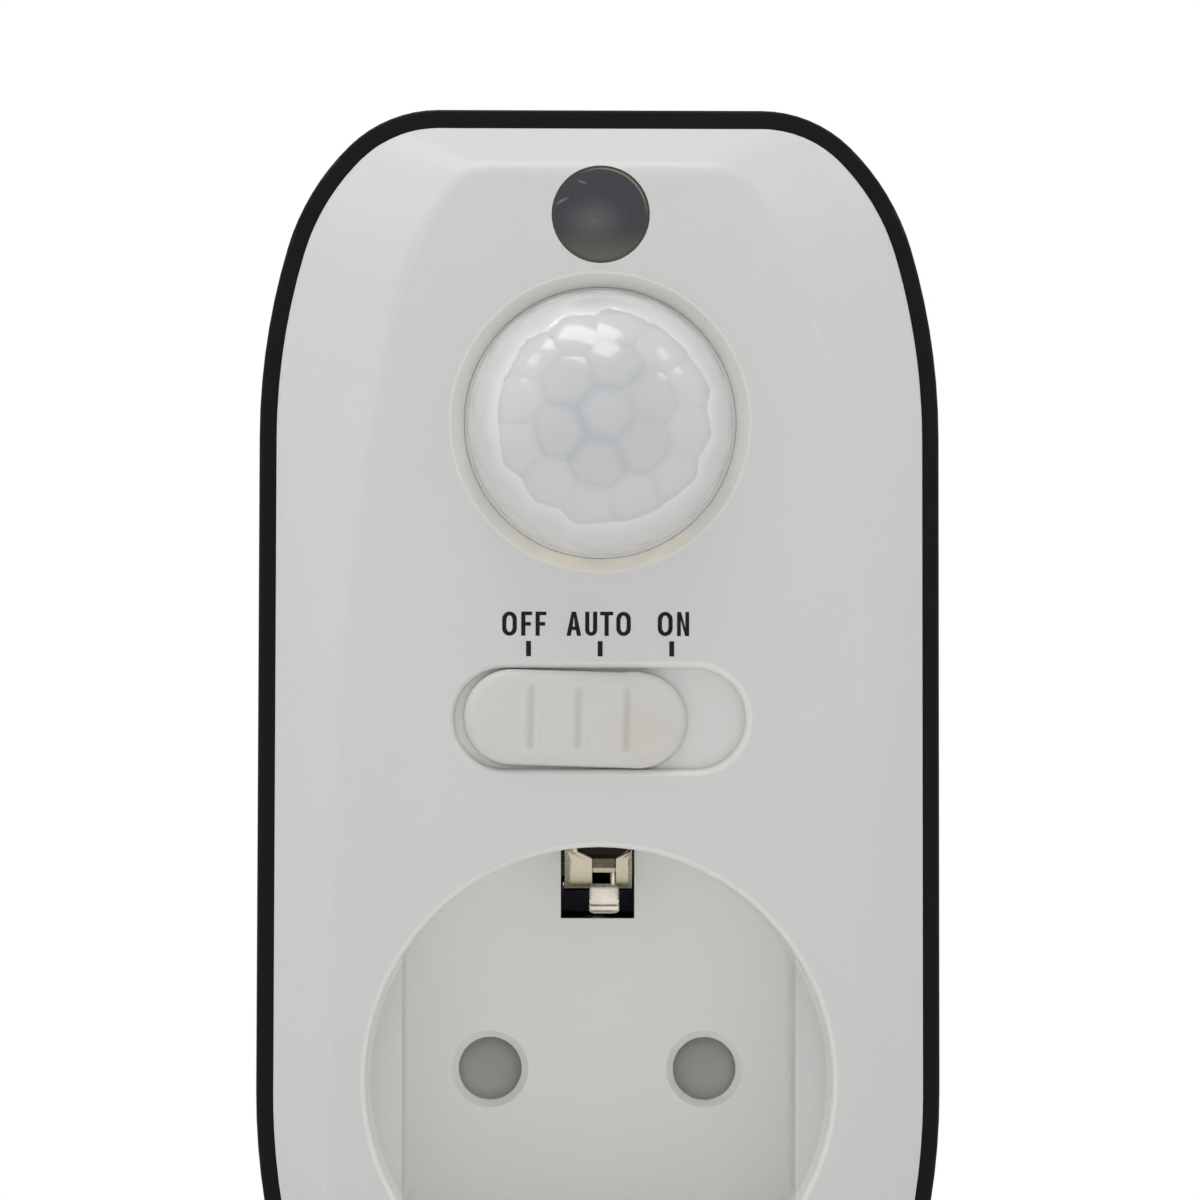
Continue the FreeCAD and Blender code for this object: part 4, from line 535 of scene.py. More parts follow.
def lens_milk():
    """Milky lens plastic, glossy outside, with the fine rings of its cells."""
    tree, shader = new_material("lens_milk", [
        ("Subsurface Weight", 0.25), ("Subsurface Radius", (1.0, 1.0, 1.0)),
        ("Subsurface Scale", 0.6 * MM), ("Coat Weight", 0.4), ("Coat Roughness", 0.12),
    ])
    feed(tree, shader, "Base Color", cell_colour_and_painted_shade(tree))
    feed(tree, shader, "Roughness", cloud(tree, 0.14, 0.2, size=1.2, detail=GLOSS_DETAIL))
    rings = add(
        tree, "ShaderNodeTexWave", [("Vector", position(tree)), ("Scale", 900.0), ("Distortion", 0.4)],
        wave_type="RINGS", rings_direction="Y",
    )
    bumped(tree, shader, rings.outputs[1], depth=0.0006)


def streak(tree, across, height, turn, length, width):
    """Mask of a fine scratch: 1 on the scratch, 0 away from it."""
    mapping = add(
        tree, "ShaderNodeMapping",
        [("Vector", position(tree)), ("Location", at(across, 0.0, height)),
         ("Rotation", (0.0, math.radians(turn), 0.0))],
        vector_type="TEXTURE",
    )
    parts = add(tree, "ShaderNodeSeparateXYZ", [(0, mapping.outputs[0])]).outputs
    lengthwise = ranged(tree, maths(tree, "ABSOLUTE", parts[0]), 0.0, length / 2 * MM, 1.0, 0.0)
    sideways = ranged(tree, maths(tree, "ABSOLUTE", parts[2]), 0.0, width / 2 * MM, 1.0, 0.0)
    return product(tree, lengthwise, sideways)


def window_depths_and_painted_glow(tree):
    """Smoky colour in which the sensor shows as a paler patch, and painted light makes the lower part
    lighter.
    """
    spot = distance_from(tree, -0.6, WINDOW_HEIGHT - 0.6, squash=0.8)
    patch = ranged(tree, spot, 0.0, 2.6, 1.0, 0.0, "SMOOTHSTEP")
    patch = product(tree, patch, cloud(tree, 0.55, 1.0, size=0.5, detail=4.0))
    glass = mixed(tree, patch, srgb(54, 53, 59), srgb(92, 92, 95))
    light_from = WINDOW_HEIGHT - 1.4
    light_full = WINDOW_HEIGHT - 3.6
    low = ranged(tree, axes(tree)[2], light_from * MM, light_full * MM, 0.0, 0.8)
    # painted light: the lower part of the window lighter
    return mixed(tree, low, glass, srgb(95, 97, 84))


def window_rim(tree, glass):
    """Window darker towards its rim, with a painted highlight on its upper right."""
    ring = distance_from(tree, 0.0, WINDOW_HEIGHT)
    rim = ranged(tree, ring, WINDOW_RADIUS - 0.4, WINDOW_RADIUS - 0.05, 0.0, 0.75, "SMOOTHSTEP")
    glass = mixed(tree, rim, glass, srgb(58, 58, 50))
    parts = axes(tree)
    up = maths(tree, "SUBTRACT", parts[2], WINDOW_HEIGHT * MM)
    towards = maths(tree, "ADD", product(tree, parts[0], 0.55), product(tree, up, 0.83))
    painted_glint = ranged(tree, towards, 1.8 * MM, 3.8 * MM, 0.0, 0.7)
    painted_glint = product(tree, painted_glint, band(tree, ring, WINDOW_RADIUS - 0.26, WINDOW_RADIUS - 0.2, 0.06))
    # painted highlight on the upper right of the window's rim
    return mixed(tree, painted_glint, glass, srgb(160, 160, 126))


def window_smoke():
    """Smoked window with a few scratches."""
    tree, shader = new_material("window_smoke", [("Specular IOR Level", 0.4)])
    glass = window_rim(tree, window_depths_and_painted_glow(tree))
    scratches = maths(
        tree, "ADD",
        streak(tree, -1.6, WINDOW_HEIGHT + 2.75, turn=18.0, length=1.1, width=0.22),
        streak(tree, -3.3, WINDOW_HEIGHT + 1.15, turn=-28.0, length=1.4, width=0.3),
    )
    glass = mixed(tree, product(tree, scratches, 0.55), glass, srgb(170, 168, 160))
    gloss = ranged(tree, noise(tree, 0.4, GLOSS_DETAIL), 0.35, 0.7, 0.2, 0.34)
    feed(tree, shader, "Base Color", glass)
    feed(tree, shader, "Roughness", gloss)
    bumped(tree, shader, scratches, depth=0.01)


def handled_tones(tree, base):
    """Warm touch of handling at the knob's right end."""
    spot = distance_from(tree, KNOB_ACROSS + 6.2, KNOB_HEIGHT - 1.4, squash=0.7)
    spot = ranged(tree, spot, 0.4, 4.2, 1.0, 0.0, "SMOOTHSTEP")
    spot = product(tree, spot, cloud(tree, 0.2, 0.8, size=2.2, detail=4.0))
    return mixed(tree, spot, base, srgb(212, 203, 191))


def sensor_clear():
    """Clear cast resin of the light sensor, with a slight cloud."""
    tree, shader = new_material("sensor_clear", [("Transmission Weight", 0.8), ("IOR", 1.52)])
    haze = cloud(tree, 0.0, 1.0, size=1.0)
    feed(tree, shader, "Base Color", mixed(tree, haze, srgb(236, 240, 244), srgb(214, 222, 230)))
    feed(tree, shader, "Roughness", ranged(tree, haze, 0.0, 1.0, 0.05, 0.12))


def track_tones(tree, base):
    """Paler copper tracks under the solder mask."""
    tracks = add(
        tree, "ShaderNodeTexBrick",
        [("Vector", position(tree)), ("Scale", 120.0), ("Mortar Size", 0.012),
         ("Color1", BLACK), ("Color2", BLACK), ("Mortar", WHITE)],
    )
    return mixed(tree, tracks.outputs[0], base, srgb(58, 128, 74))


def ring_tones(tree, base):
    """Rings of colour round a resistor."""
    wave = add(
        tree, "ShaderNodeTexWave", [("Vector", position(tree)), ("Scale", 220.0)],
        wave_type="BANDS", bands_direction="X",
    )
    rings = ranged(tree, wave.outputs[1], 0.86, 0.9, 0.0, 1.0)
    return mixed(tree, rings, base, srgb(110, 58, 40))


def seen_plastics():
    """Plastics that show from outside."""
    plastic(
        "cover_white", srgb(215, 215, 213), roughness=0.36, grain=0.16, grain_depth=0.0012,
        variation=0.008, tones=(hollow_painted_light_tones, edge_painted_highlights, slot_painted_light_tones, dish_painted_light_and_shade),
    )
    plastic(
        "shell_black", srgb(17, 16, 21), roughness=0.46, grain=0.14, grain_depth=0.004, variation=0.06,
        gleam=0.12, tones=(dust_and_inside_painted_light,),
    )
    plastic(
        "knob_white", srgb(212, 212, 209), roughness=0.42, grain=0.2, grain_depth=0.0025,
        variation=0.012, tones=(handled_tones,),
    )
    plastic(
        "lettering_ink", srgb(22, 21, 27), roughness=0.5, grain=0.08, grain_depth=0.003, variation=0.1,
        gleam=0.15,
    )


def inner_plastics():
    """Plastics, lacquers and the board inside the housing."""
    plastic("carrier_grey", srgb(150, 150, 147), roughness=0.5)
    plastic("shutter_grey", srgb(178, 178, 174), roughness=0.45)
    plastic("inner_white", srgb(206, 206, 202), roughness=0.5)
    plastic("inner_black", srgb(38, 38, 40), roughness=0.5)
    plastic("relay_black", srgb(44, 44, 48), roughness=0.55, grain=0.2, grain_depth=0.006)
    plastic("chip_black", srgb(34, 34, 36), roughness=0.6, grain=0.2, grain_depth=0.006)
    plastic("capacitor_yellow", srgb(206, 160, 40), roughness=0.4)
    plastic("capacitor_sleeve", srgb(40, 42, 66), roughness=0.3)
    plastic("varistor_blue", srgb(40, 84, 156), roughness=0.28)
    plastic("wire_brown", srgb(98, 58, 34), roughness=0.5)
    plastic("wire_blue", srgb(44, 92, 170), roughness=0.5)
    plastic("wire_black", srgb(34, 34, 36), roughness=0.5)
    plastic("board_green", srgb(22, 92, 52), roughness=0.3, grain=0.2, variation=0.05, tones=(track_tones,))
    plastic(
        "resistor_beige", srgb(214, 190, 150), roughness=0.35, grain=0.2, variation=0.04,
        tones=(ring_tones,),
    )


def metals():
    """Pins, clips, contacts, screws, spring and sensor can."""
    metal("nickel", srgb(222, 211, 190), roughness=0.2, tones=(inside_painted_shade_tones,))
    metal("clip_nickel", srgb(228, 221, 208), roughness=0.24, tones=(clip_painted_shade_tones,))
    metal("contact_brass", srgb(214, 178, 104), roughness=0.28)
    metal("screw_steel", srgb(196, 197, 200), roughness=0.3, squeeze=(1, 1, 1))
    metal("spring_steel", srgb(186, 187, 190), roughness=0.25, squeeze=(1, 1, 1))
    metal("sensor_can", srgb(190, 190, 192), roughness=0.32, squeeze=(1, 8, 1))


def in_scene(name, data):
    """New object in the scene, from its mesh, curve, light or camera."""
    thing = bpy.data.objects.new(name, data)
    bpy.context.scene.collection.objects.link(thing)
    return thing


def mesh_piece(name, points, faces, body, material, smooth_angle=35.0, painted_shade=()):
    """Piece from points in metres that rides on a body, with a share of painted shade for each point if
    given.
    """
    mesh = bpy.data.meshes.new(name)
    mesh.from_pydata(points, [], faces)
    if painted_shade:
        mesh.attributes.new("painted_shade", "FLOAT", "POINT").data.foreach_set("value", painted_shade)
    work = bmesh.new()
    work.from_mesh(mesh)
    bmesh.ops.remove_doubles(work, verts=work.verts, dist=WELD * MM)
    bmesh.ops.recalc_face_normals(work, faces=work.faces)
    work.to_mesh(mesh)
    work.free()
    mesh.shade_smooth()
    mesh.set_sharp_from_angle(angle=math.radians(smooth_angle))
    mesh.materials.append(material)
    piece = in_scene(name, mesh)
    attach(piece, body)
    return piece


def direction(polar, turn):
    """Unit vector from the lens axis by a polar angle and a turn from the right, counter-clockwise."""
    polar = math.radians(polar)
    turn = math.radians(turn)
    return Vector((math.sin(polar) * math.cos(turn), -math.cos(polar), math.sin(polar) * math.sin(turn)))


def dome_radius(polar):
    """Distance of the plain dome from its centre."""
    return LENS_APEX + (LENS_RADIUS - LENS_APEX) * math.sin(math.radians(polar)) ** 2


def lens_cells():
    """(direction, number of its ring) of each cell."""
    lean = Matrix.Rotation(math.radians(LENS_LEAN), 3, "Z")
    return [
        (lean @ direction(polar, turn + 360 * step / count), ring)
        for ring, (polar, count, turn) in enumerate(CELL_RINGS)
        for step in range(count)
    ]


def border_share(nearest, second, own, other):
    """How near a place is to the border of its cell, which sets its painted shade, and in the skirt its
    painted light: wide and soft in the middle of the lens.
    """
    if own >= CLEAR_RINGS:
        return max(0.0, 1 - (second - nearest) / SKIRT_EDGE)
    edge = SOFT_EDGE if max(own, other) < MIDDLE_RINGS else CELL_EDGE
    strength = (BORDER_SHARES[own] + BORDER_SHARES[min(other, CLEAR_RINGS - 1)]) / 2
    return strength * max(0.0, 1 - (second - nearest) / edge)


def lens_point(way, polar, cells):
    """Point of the lens on a way from its centre, in metres, and its border, skirt and middle shares."""
    ranked = sorted(((way.dot(middle), ring) for middle, ring in cells), reverse=True)
    own, other = ranked[0][1], ranked[1][1]
    nearest, second = (math.degrees(math.acos(min(ranked[rank][0], 1.0))) for rank in (0, 1))
    in_skirt = own >= CLEAR_RINGS
    if in_skirt:
        second = math.degrees(math.acos(next(cosine for cosine, ring in ranked if ring < CLEAR_RINGS)))
    relief = SKIRT_RELIEF if in_skirt else CELL_RELIEF
    point = way * (dome_radius(polar) - relief * (nearest / CELL_REACH) ** 2)
    behind = point.y + FACE_INSIDE - LENS_FOOT_FRONT
    if behind > 0:
        across = math.hypot(point.x, point.z)
        wider = across + (LENS_FOOT_RADIUS - across) * min(behind / LENS_FOOT_BLEND, 1.0)
        point = Vector((point.x * wider / across, point.y, point.z * wider / across))
    shares = (border_share(nearest, second, own, other), float(in_skirt), float(own < MIDDLE_RINGS))
    return point * MM + at(0.0, FACE_INSIDE, LENS_HEIGHT), shares


def lens():
    """Dome of shallow cells with a paler skirt, a flange behind the cover and a hollow inside."""
    cells = lens_cells()
    points = []
    shares = []

    def ring_of(radius, depth):
        for segment in range(LENS_SEGMENTS):
            turn = 2 * math.pi * segment / LENS_SEGMENTS
            points.append(at(radius * math.cos(turn), depth, LENS_HEIGHT + radius * math.sin(turn)))

    for ring in range(1, LENS_RINGS + 1):
        polar = 90.0 * ring / LENS_RINGS
        for segment in range(LENS_SEGMENTS):
            point, point_shares = lens_point(direction(polar, 360.0 * segment / LENS_SEGMENTS), polar, cells)
            points.append(point)
            shares.append(point_shares)
    ring_of(LENS_FLANGE_RADIUS, FACE_INSIDE)
    ring_of(LENS_FLANGE_RADIUS, FACE_INSIDE + LENS_WALL)
    inner_radius = LENS_RADIUS - LENS_WALL
    ring_of(inner_radius, FACE_INSIDE + LENS_WALL)
    for ring in range(LENS_INNER_RINGS, 0, -1):
        polar = math.radians(90.0 * ring / LENS_INNER_RINGS)
        ring_of(inner_radius * math.sin(polar), FACE_INSIDE - inner_radius * math.cos(polar))
    rows = len(points) // LENS_SEGMENTS
    front = len(points)
    points.append(at(0.0, FACE_INSIDE - LENS_APEX, LENS_HEIGHT))
    points.append(at(0.0, FACE_INSIDE - inner_radius, LENS_HEIGHT))
    faces = []
    for segment in range(LENS_SEGMENTS):
        after = (segment + 1) % LENS_SEGMENTS
        faces.append((front, segment, after))
        last = (rows - 1) * LENS_SEGMENTS
        faces.append((front + 1, last + after, last + segment))
        for row in range(rows - 1):
            low = row * LENS_SEGMENTS
            high = low + LENS_SEGMENTS
            faces.append((low + segment, high + segment, high + after, low + after))
    mesh = bpy.data.meshes.new("lens_cells")
    mesh.from_pydata(points, [], faces)
    for name, values in zip(LENS_TONES, zip(*shares)):
        plain = [0.0] * (len(points) - len(values))
        mesh.attributes.new(name, "FLOAT", "POINT").data.foreach_set("value", list(values) + plain)
    mesh.shade_smooth()
    mesh.set_sharp_from_angle(angle=math.radians(LENS_SHARP_ANGLE))
    mesh.materials.append(materials["lens_milk"])
    piece = in_scene("lens_cells", mesh)
    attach(piece, "housing")
    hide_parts("pir_lens")


def knob_past(along):
    """How far a place along the knob lies past the middle of its round end."""
    return max(abs(along) - (KNOB_LENGTH / 2 - KNOB_HALF_WIDTH), 0.0)


def knob_groove(along, up):
    """Height of the grip grooves and their lips: a dip with a slight lip on each side."""
    fade = min(1.0, max(0.0, (KNOB_GROOVE_HALF_LENGTH - abs(up)) / KNOB_GROOVE_FADE))
    height = 0.0
    for middle in KNOB_GROOVES:
        away = (along - middle) / (KNOB_GROOVE_WIDTH / 2)
        lips = math.exp(-(away - KNOB_LIP_PLACE) ** 2) + math.exp(-(away + KNOB_LIP_PLACE) ** 2)
        height -= KNOB_GROOVE_DEPTH * math.exp(-away ** 2)
        height += KNOB_LIP_HEIGHT * lips
    return height * fade


def knob_top(along, up):
    """Height of the knob's top at a place: crowned, round at the edge, with the grooves."""
    inward = max(KNOB_HALF_WIDTH - math.hypot(knob_past(along), up), 0.0)
    crown = -KNOB_CROWN * (1 - min(inward / KNOB_HALF_WIDTH, 1.0))
    if inward < KNOB_EDGE:
        share = 1 - inward / KNOB_EDGE
        crown -= KNOB_EDGE * KNOB_EDGE_FALL * (1 - math.sqrt(max(1 - share ** 2, 0.0)))
    return crown + knob_groove(along, up)


def knob_burr(along, share):
    """Height of the burr, which stands on the upper edge; share is 1 there."""
    flatness = 4
    nearness = 6
    burr = KNOB_BURR_HEIGHT * max(0.0, 1 - ((along - KNOB_BURR_MIDDLE) / KNOB_BURR_REACH) ** flatness)
    return burr * max(share, 0.0) ** nearness


def knob_rim(stride):
    """Numbers of the points round the edge of the knob's top, in order."""
    rim = [column * stride for column in range(KNOB_COLUMNS + 1)]
    rim += [KNOB_COLUMNS * stride + row for row in range(1, KNOB_ROWS + 1)]
    rim += [column * stride + KNOB_ROWS for column in range(KNOB_COLUMNS - 1, -1, -1)]
    rim += range(KNOB_ROWS - 1, 0, -1)
    return rim


def walls(first, second):
    """Faces between two closed rows of points, given by the points' numbers."""
    count = len(first)
    return [
        (first[step], first[(step + 1) % count], second[(step + 1) % count], second[step])
        for step in range(count)
    ]


def knob():
    """Crowned knob with rounded edges and three grip grooves, a touch askew in its slot."""
    points = []
    plan = []
    tilt = Matrix.Rotation(math.radians(KNOB_TILT), 4, "Y")
    centre = at(KNOB_ACROSS, 0.0, KNOB_HEIGHT)

    def placed(along, depth, up):
        return tilt @ at(along, depth, up) + centre

    def spread(share):
        return math.sin(math.pi / 2 * share)

    for column in range(KNOB_COLUMNS + 1):
        along = KNOB_LENGTH / 2 * spread(2 * column / KNOB_COLUMNS - 1)
        half = max(math.sqrt(max(KNOB_HALF_WIDTH ** 2 - knob_past(along) ** 2, 0.0)), KNOB_LEAST_HALF)
        for row in range(KNOB_ROWS + 1):
            share = spread(2 * row / KNOB_ROWS - 1)
            up = half * share
            points.append(placed(along, KNOB_TOP - knob_top(along, up), up + knob_burr(along, share)))
            plan.append((along, up))
    stride = KNOB_ROWS + 1
    faces = []
    for column in range(KNOB_COLUMNS):
        for row in range(KNOB_ROWS):
            corner = column * stride + row
            faces.append((corner, corner + 1, corner + stride + 1, corner + stride))
    rim = knob_rim(stride)
    foot = range(len(points), len(points) + len(rim))
    for index in rim:
        along, up = plan[index]
        past = math.copysign(knob_past(along), along)
        wider = KNOB_DRAFT / max(math.hypot(past, up), KNOB_DRAFT)
        points.append(placed(along + past * wider, KNOB_FOOT, up + up * wider))
    faces += walls(rim, foot)
    faces.append(tuple(foot))
    corners = ((-1, -1), (1, -1), (1, 1), (-1, 1))
    stem = range(len(points), len(points) + len(corners))
    stem_end = range(stem.stop, stem.stop + len(corners))
    for depth in (KNOB_FOOT, KNOB_STEM_END):
        for along, up in corners:
            points.append(placed(along * KNOB_STEM_LENGTH / 2, depth, up * KNOB_STEM_WIDTH / 2))
    faces += walls(stem, stem_end)
    faces.append(tuple(stem_end))
    piece = mesh_piece("knob_crowned", points, faces, "switch_slider", materials["knob_white"])
    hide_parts("switch_knob")


def arc(across, up, radius_across, radius_up, start, end, steps=10):
    """Points on part of an oval, in degrees from the right, counter-clockwise."""
    turns = [math.radians(start + (end - start) * step / steps) for step in range(steps + 1)]
    return [(across + radius_across * math.cos(turn), up + radius_up * math.sin(turn)) for turn in turns]


def rounded_bar(left, low, right, high, radius_across, radius_up):
    """Closed outline of an upright bar with oval corners."""
    return (
        arc(right - radius_across, high - radius_up, radius_across, radius_up, 0, 90)
        + arc(left + radius_across, high - radius_up, radius_across, radius_up, 90, 180)
        + arc(left + radius_across, low + radius_up, radius_across, radius_up, 180, 270)
        + arc(right - radius_across, low + radius_up, radius_across, radius_up, 270, 360)
    )


def glyph(letter, width):
    """Outlines of a capital letter from its lower left corner, in mm."""
    high = CAP_HEIGHT
    pen = STROKE
    bar = pen * 0.85
    if letter == "O":
        turn = width * 0.5
        inset = pen * 0.9
        outer = rounded_bar(0, 0, width, high, turn, width * 0.52)
        inner = rounded_bar(pen, inset, width - pen, high - inset, turn - pen, width * 0.36)
        return [outer, inner]
    if letter == "F":
        arm_low = high * 0.42
        arm_high = arm_low + bar
        arm_end = width * 0.9
        return [[
            (0, 0), (pen, 0), (pen, arm_low), (arm_end, arm_low), (arm_end, arm_high), (pen, arm_high),
            (pen, high - bar), (width, high - bar), (width, high), (0, high),
        ]]
    if letter == "T":
        left = (width - pen) / 2
        right = left + pen
        return [[
            (left, 0), (right, 0), (right, high - bar), (width, high - bar), (width, high),
            (0, high), (0, high - bar), (left, high - bar),
        ]]
    if letter == "N":
        post = pen * 0.9
        slant = pen * 0.95
        return [[
            (0, 0), (post, 0), (post, high * 0.66), (width - slant, 0), (width, 0), (width, high),
            (width - post, high), (width - post, high * 0.34), (slant, high), (0, high),
        ]]
    if letter == "U":
        turn = width * 0.5
        outer = arc(turn, turn, turn, turn, 180, 360)
        inner = arc(turn, turn, turn - pen, turn - pen * 0.9, 360, 180)
        return [[(0, high)] + outer + [(width, high), (width - pen, high)] + inner + [(pen, high)]]
    middle = width / 2
    foot = pen * 1.02
    tip = pen * 0.52
    bar_low = high * 0.24
    bar_high = bar_low + pen * 0.8
    slope = (middle - pen * 0.5) / high
    lean = slope * bar_low * 0.9
    outer = [
        (0, 0), (foot, 0), (foot + lean, bar_low), (width - foot - lean, bar_low), (width - foot, 0),
        (width, 0), (middle + tip, high), (middle - tip, high),
    ]
    hole_left = foot + slope * bar_high
    hole = [(hole_left, bar_high), (width - hole_left, bar_high), (middle, high - pen * 1.1)]
    return [outer, hole]


def printed(name, outlines):
    """Flat ink on the face from closed outlines, in mm."""
    curve = bpy.data.curves.new(name, "CURVE")
    curve.dimensions = "2D"
    curve.fill_mode = "BOTH"
    curve.extrude = INK_THICKNESS * MM / 2
    for outline in outlines:
        spline = curve.splines.new("POLY")
        spline.points.add(len(outline) - 1)
        for point, (across, up) in zip(spline.points, outline):
            point.co = (across * MM, up * MM, 0.0, 1.0)
        spline.use_cyclic_u = True
    curve.materials.append(materials["lettering_ink"])
    piece = in_scene(name, curve)
    piece.location = at(LETTERING_SHIFT, FACE - INK_THICKNESS / 2, 0.0)
    piece.rotation_euler = (math.radians(90), 0, 0)
    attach(piece, "housing")


def lettering():
    """OFF, AUTO and ON with a tick under each."""
    low = CAP_TOP - CAP_HEIGHT
    outlines = []
    for letter, left, width in LETTERS:
        for line in glyph(letter, width):
            outlines.append([(left + across, low + up) for across, up in line])
    printed("switch_lettering", outlines)
    half = TICK_WIDTH / 2
    foot = TICK_TOP - TICK_HEIGHT
    printed("switch_ticks", [
        [(tick - half, foot), (tick + half, foot), (tick + half, TICK_TOP), (tick - half, TICK_TOP)]
        for tick in TICKS
    ])


def between(first, last, share):
    """Value at a share of the way between two others."""
    return first + (last - first) * share


def clip_wing(outer, inner):
    """Places on a wing: its inner edge slants outward at the top, its rim and foot turn back."""
    sideways = -1 if inner < outer else 1
    steepness = 2.2
    most_slant = 1.3
    foot_height = 0.75
    foot_turn = 1.4
    rim_share = 0.3
    rim_turn = 7.0
    fold_height = 0.7
    fold_share = 0.4
    fold_lean = 0.25

    def place(across_share, down_share):
        height = between(CLIP_WING_TOP, CLIP_WING_FOOT, down_share)
        slant = min(max(height - CLIP_SHOULDER, 0.0) * steepness, most_slant)
        across = between(outer, inner - sideways * slant, across_share)
        foot = max(CLIP_WING_FOOT + foot_height - height, 0.0)
        rim = max(rim_share - across_share, 0.0)
        folding = min(max((across_share - rim_share) / fold_share, 0.0), 1.0)
        fold = max(height - CLIP_SHOULDER + fold_height, 0.0) * folding
        return across, CLIP_FRONT + foot_turn * foot ** 2 + rim_turn * rim ** 2 - fold_lean * fold, height

    return place


def clip_strap(across_share, down_share):
    """Places on the strap between the wings, which leans back at the top."""
    lean_start = 0.45
    leaning = 1.2
    height = between(CLIP_SHOULDER, CLIP_HOLE_TOP, down_share)
    lean = max(height - CLIP_HOLE_TOP - lean_start, 0.0)
    return between(*CLIP_STRAP, across_share), CLIP_FRONT + leaning * lean, height


def clip_bar(across_share, down_share):
    """Places on the bar at the right of the hole, rounded across."""
    overlap = 0.1
    roundness = 0.7
    across = between(CLIP_HOLE_SIDE, CLIP_STRAP[1], across_share)
    height = between(CLIP_HOLE_TOP, CLIP_HOLE_FOOT - overlap, down_share)
    return across, CLIP_FRONT + roundness * (2 * across_share - 1) ** 2 * CLIP_SHEET, height


def place_on_run(run, share):
    """Depth, height and step number at a share of the way along a run of points."""
    place = share * (len(run) - 1)
    step = min(int(place), len(run) - 2)
    past = place - step
    depth, height = (between(first, last, past) for first, last in zip(run[step], run[step + 1]))
    return depth, height, place


def clip_tongue(across_share, down_share):
    """Places on the tongue: forward to a crease, round a bend, then back into the socket."""
    left, right = CLIP_TONGUE
    neck_inset = 0.26
    end_inset = 0.35
    end_start = 5.0
    end_steps = 1.5
    curl = 0.15
    curl_power = 6
    depth, height, place = place_on_run(CLIP_TONGUE_RUN, down_share)
    neck = neck_inset * max(0.0, 1 - place)
    end = end_inset * min(1.0, max(0.0, (place - end_start) / end_steps)) ** 2
    narrow = neck + end
    across = left + narrow + (right - left - 2 * narrow) * across_share
    return across, depth + curl * (2 * across_share - 1) ** curl_power, height


def clip_leg(across_share, down_share):
    """Places on the leg, from the top of the strap back to the strip in the housing."""
    depth, height = place_on_run(CLIP_LEG_RUN, down_share)[:2]
    return between(*CLIP_STRAP, across_share), depth, height


def sheet(place, columns, rows):
    """Points and faces of a sheet from its places, given as shares across and down."""
    points = [
        Vector(place(column / columns, row / rows))
        for row in range(rows + 1)
        for column in range(columns + 1)
    ]
    stride = columns + 1
    faces = [
        (corner, corner + stride, corner + stride + 1, corner + 1)
        for row in range(rows)
        for corner in range(row * stride, row * stride + columns)
    ]
    return points, faces


def node_mesh(node):
    """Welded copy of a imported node's mesh, to be cut or written back."""
    work = bmesh.new()
    work.from_mesh(nodes[node].data)
    bmesh.ops.remove_doubles(work, verts=work.verts, dist=WELD * MM)
    return work


def stand_in(name, node, work, slot):
    """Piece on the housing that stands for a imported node, from a changed copy of its mesh."""
    bmesh.ops.recalc_face_normals(work, faces=work.faces)
    mesh = bpy.data.meshes.new(name)
    work.to_mesh(mesh)
    work.free()
    mesh.materials.clear()
    mesh.materials.append(materials[slot])
    piece = in_scene(name, mesh)
    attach(piece, "housing")
    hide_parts(node)
    return piece


def spring():
    """Spring of the safety shutter, as a smooth copy of its imported solid on the housing."""
    piece = stand_in("shutter_coil", "shutter_spring", node_mesh("shutter_spring"), "spring_steel")
    piece.data.shade_smooth()
    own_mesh(piece)


def clip_front(name, side):
    """Bent front of an earth clip, from thin sheets that carry how much painted shade they get."""
    left, right = CLIP_STRAP
    # Places, steps across and down, and how much painted shade its top and its foot get, for each sheet
    sheets = (
        (clip_wing(CLIP_LEFT, left), 24, 30, 0.35, 1.0),
        (clip_wing(CLIP_RIGHT, right), 20, 30, 0.35, 1.0),
        (clip_strap, 8, 12, 0.5, 0.6),
        (clip_bar, 8, 4, 0.1, 0.1),
        (clip_tongue, 20, 72, 0.0, 0.0),
        (clip_leg, 4, 16, 0.8, 1.0),
    )
    late = 4
    points = []
    faces = []
    painted_shade = []
    for place, columns, rows, top_shade, foot_shade in sheets:
        sheet_points, sheet_faces = sheet(place, columns, rows)
        start = len(points)
        points += [at(point.x * side, point.y, point.z * side) for point in sheet_points]
        faces += [tuple(start + index for index in face) for face in sheet_faces]
        for row in range(rows + 1):
            # share of painted shade along each sheet, rising towards its foot
            painted_shade += [between(top_shade, foot_shade, (row / rows) ** late)] * (columns + 1)
    front = mesh_piece(
        name + "_front", points, faces, "housing", materials["clip_nickel"], smooth_angle=60.0, painted_shade=painted_shade
    )
    thicken = front.modifiers.new("thickness", "SOLIDIFY")
    thicken.thickness = CLIP_SHEET * MM


def clip_strip(name, node):
    """Packed strip behind an earth clip's front, cut off where the clip's leg reaches it."""
    work = node_mesh(node)
    everything = work.verts[:] + work.edges[:] + work.faces[:]
    cut = bmesh.ops.bisect_plane(
        work, geom=everything, plane_co=at(0.0, CLIP_CUT, 0.0), plane_no=(0.0, -1.0, 0.0), clear_outer=True
    )
    edges = [item for item in cut["geom_cut"] if isinstance(item, bmesh.types.BMEdge)]
    bmesh.ops.holes_fill(work, edges=edges)
    soften(stand_in(name, node, work, "nickel"), STRIP_ROUNDING)


def earth_clip(name, node, side):
    """Earth clip with its bent front and the strip behind it; side is 1 above and -1 below."""
    clip_front(name, side)
    clip_strip(name, node)


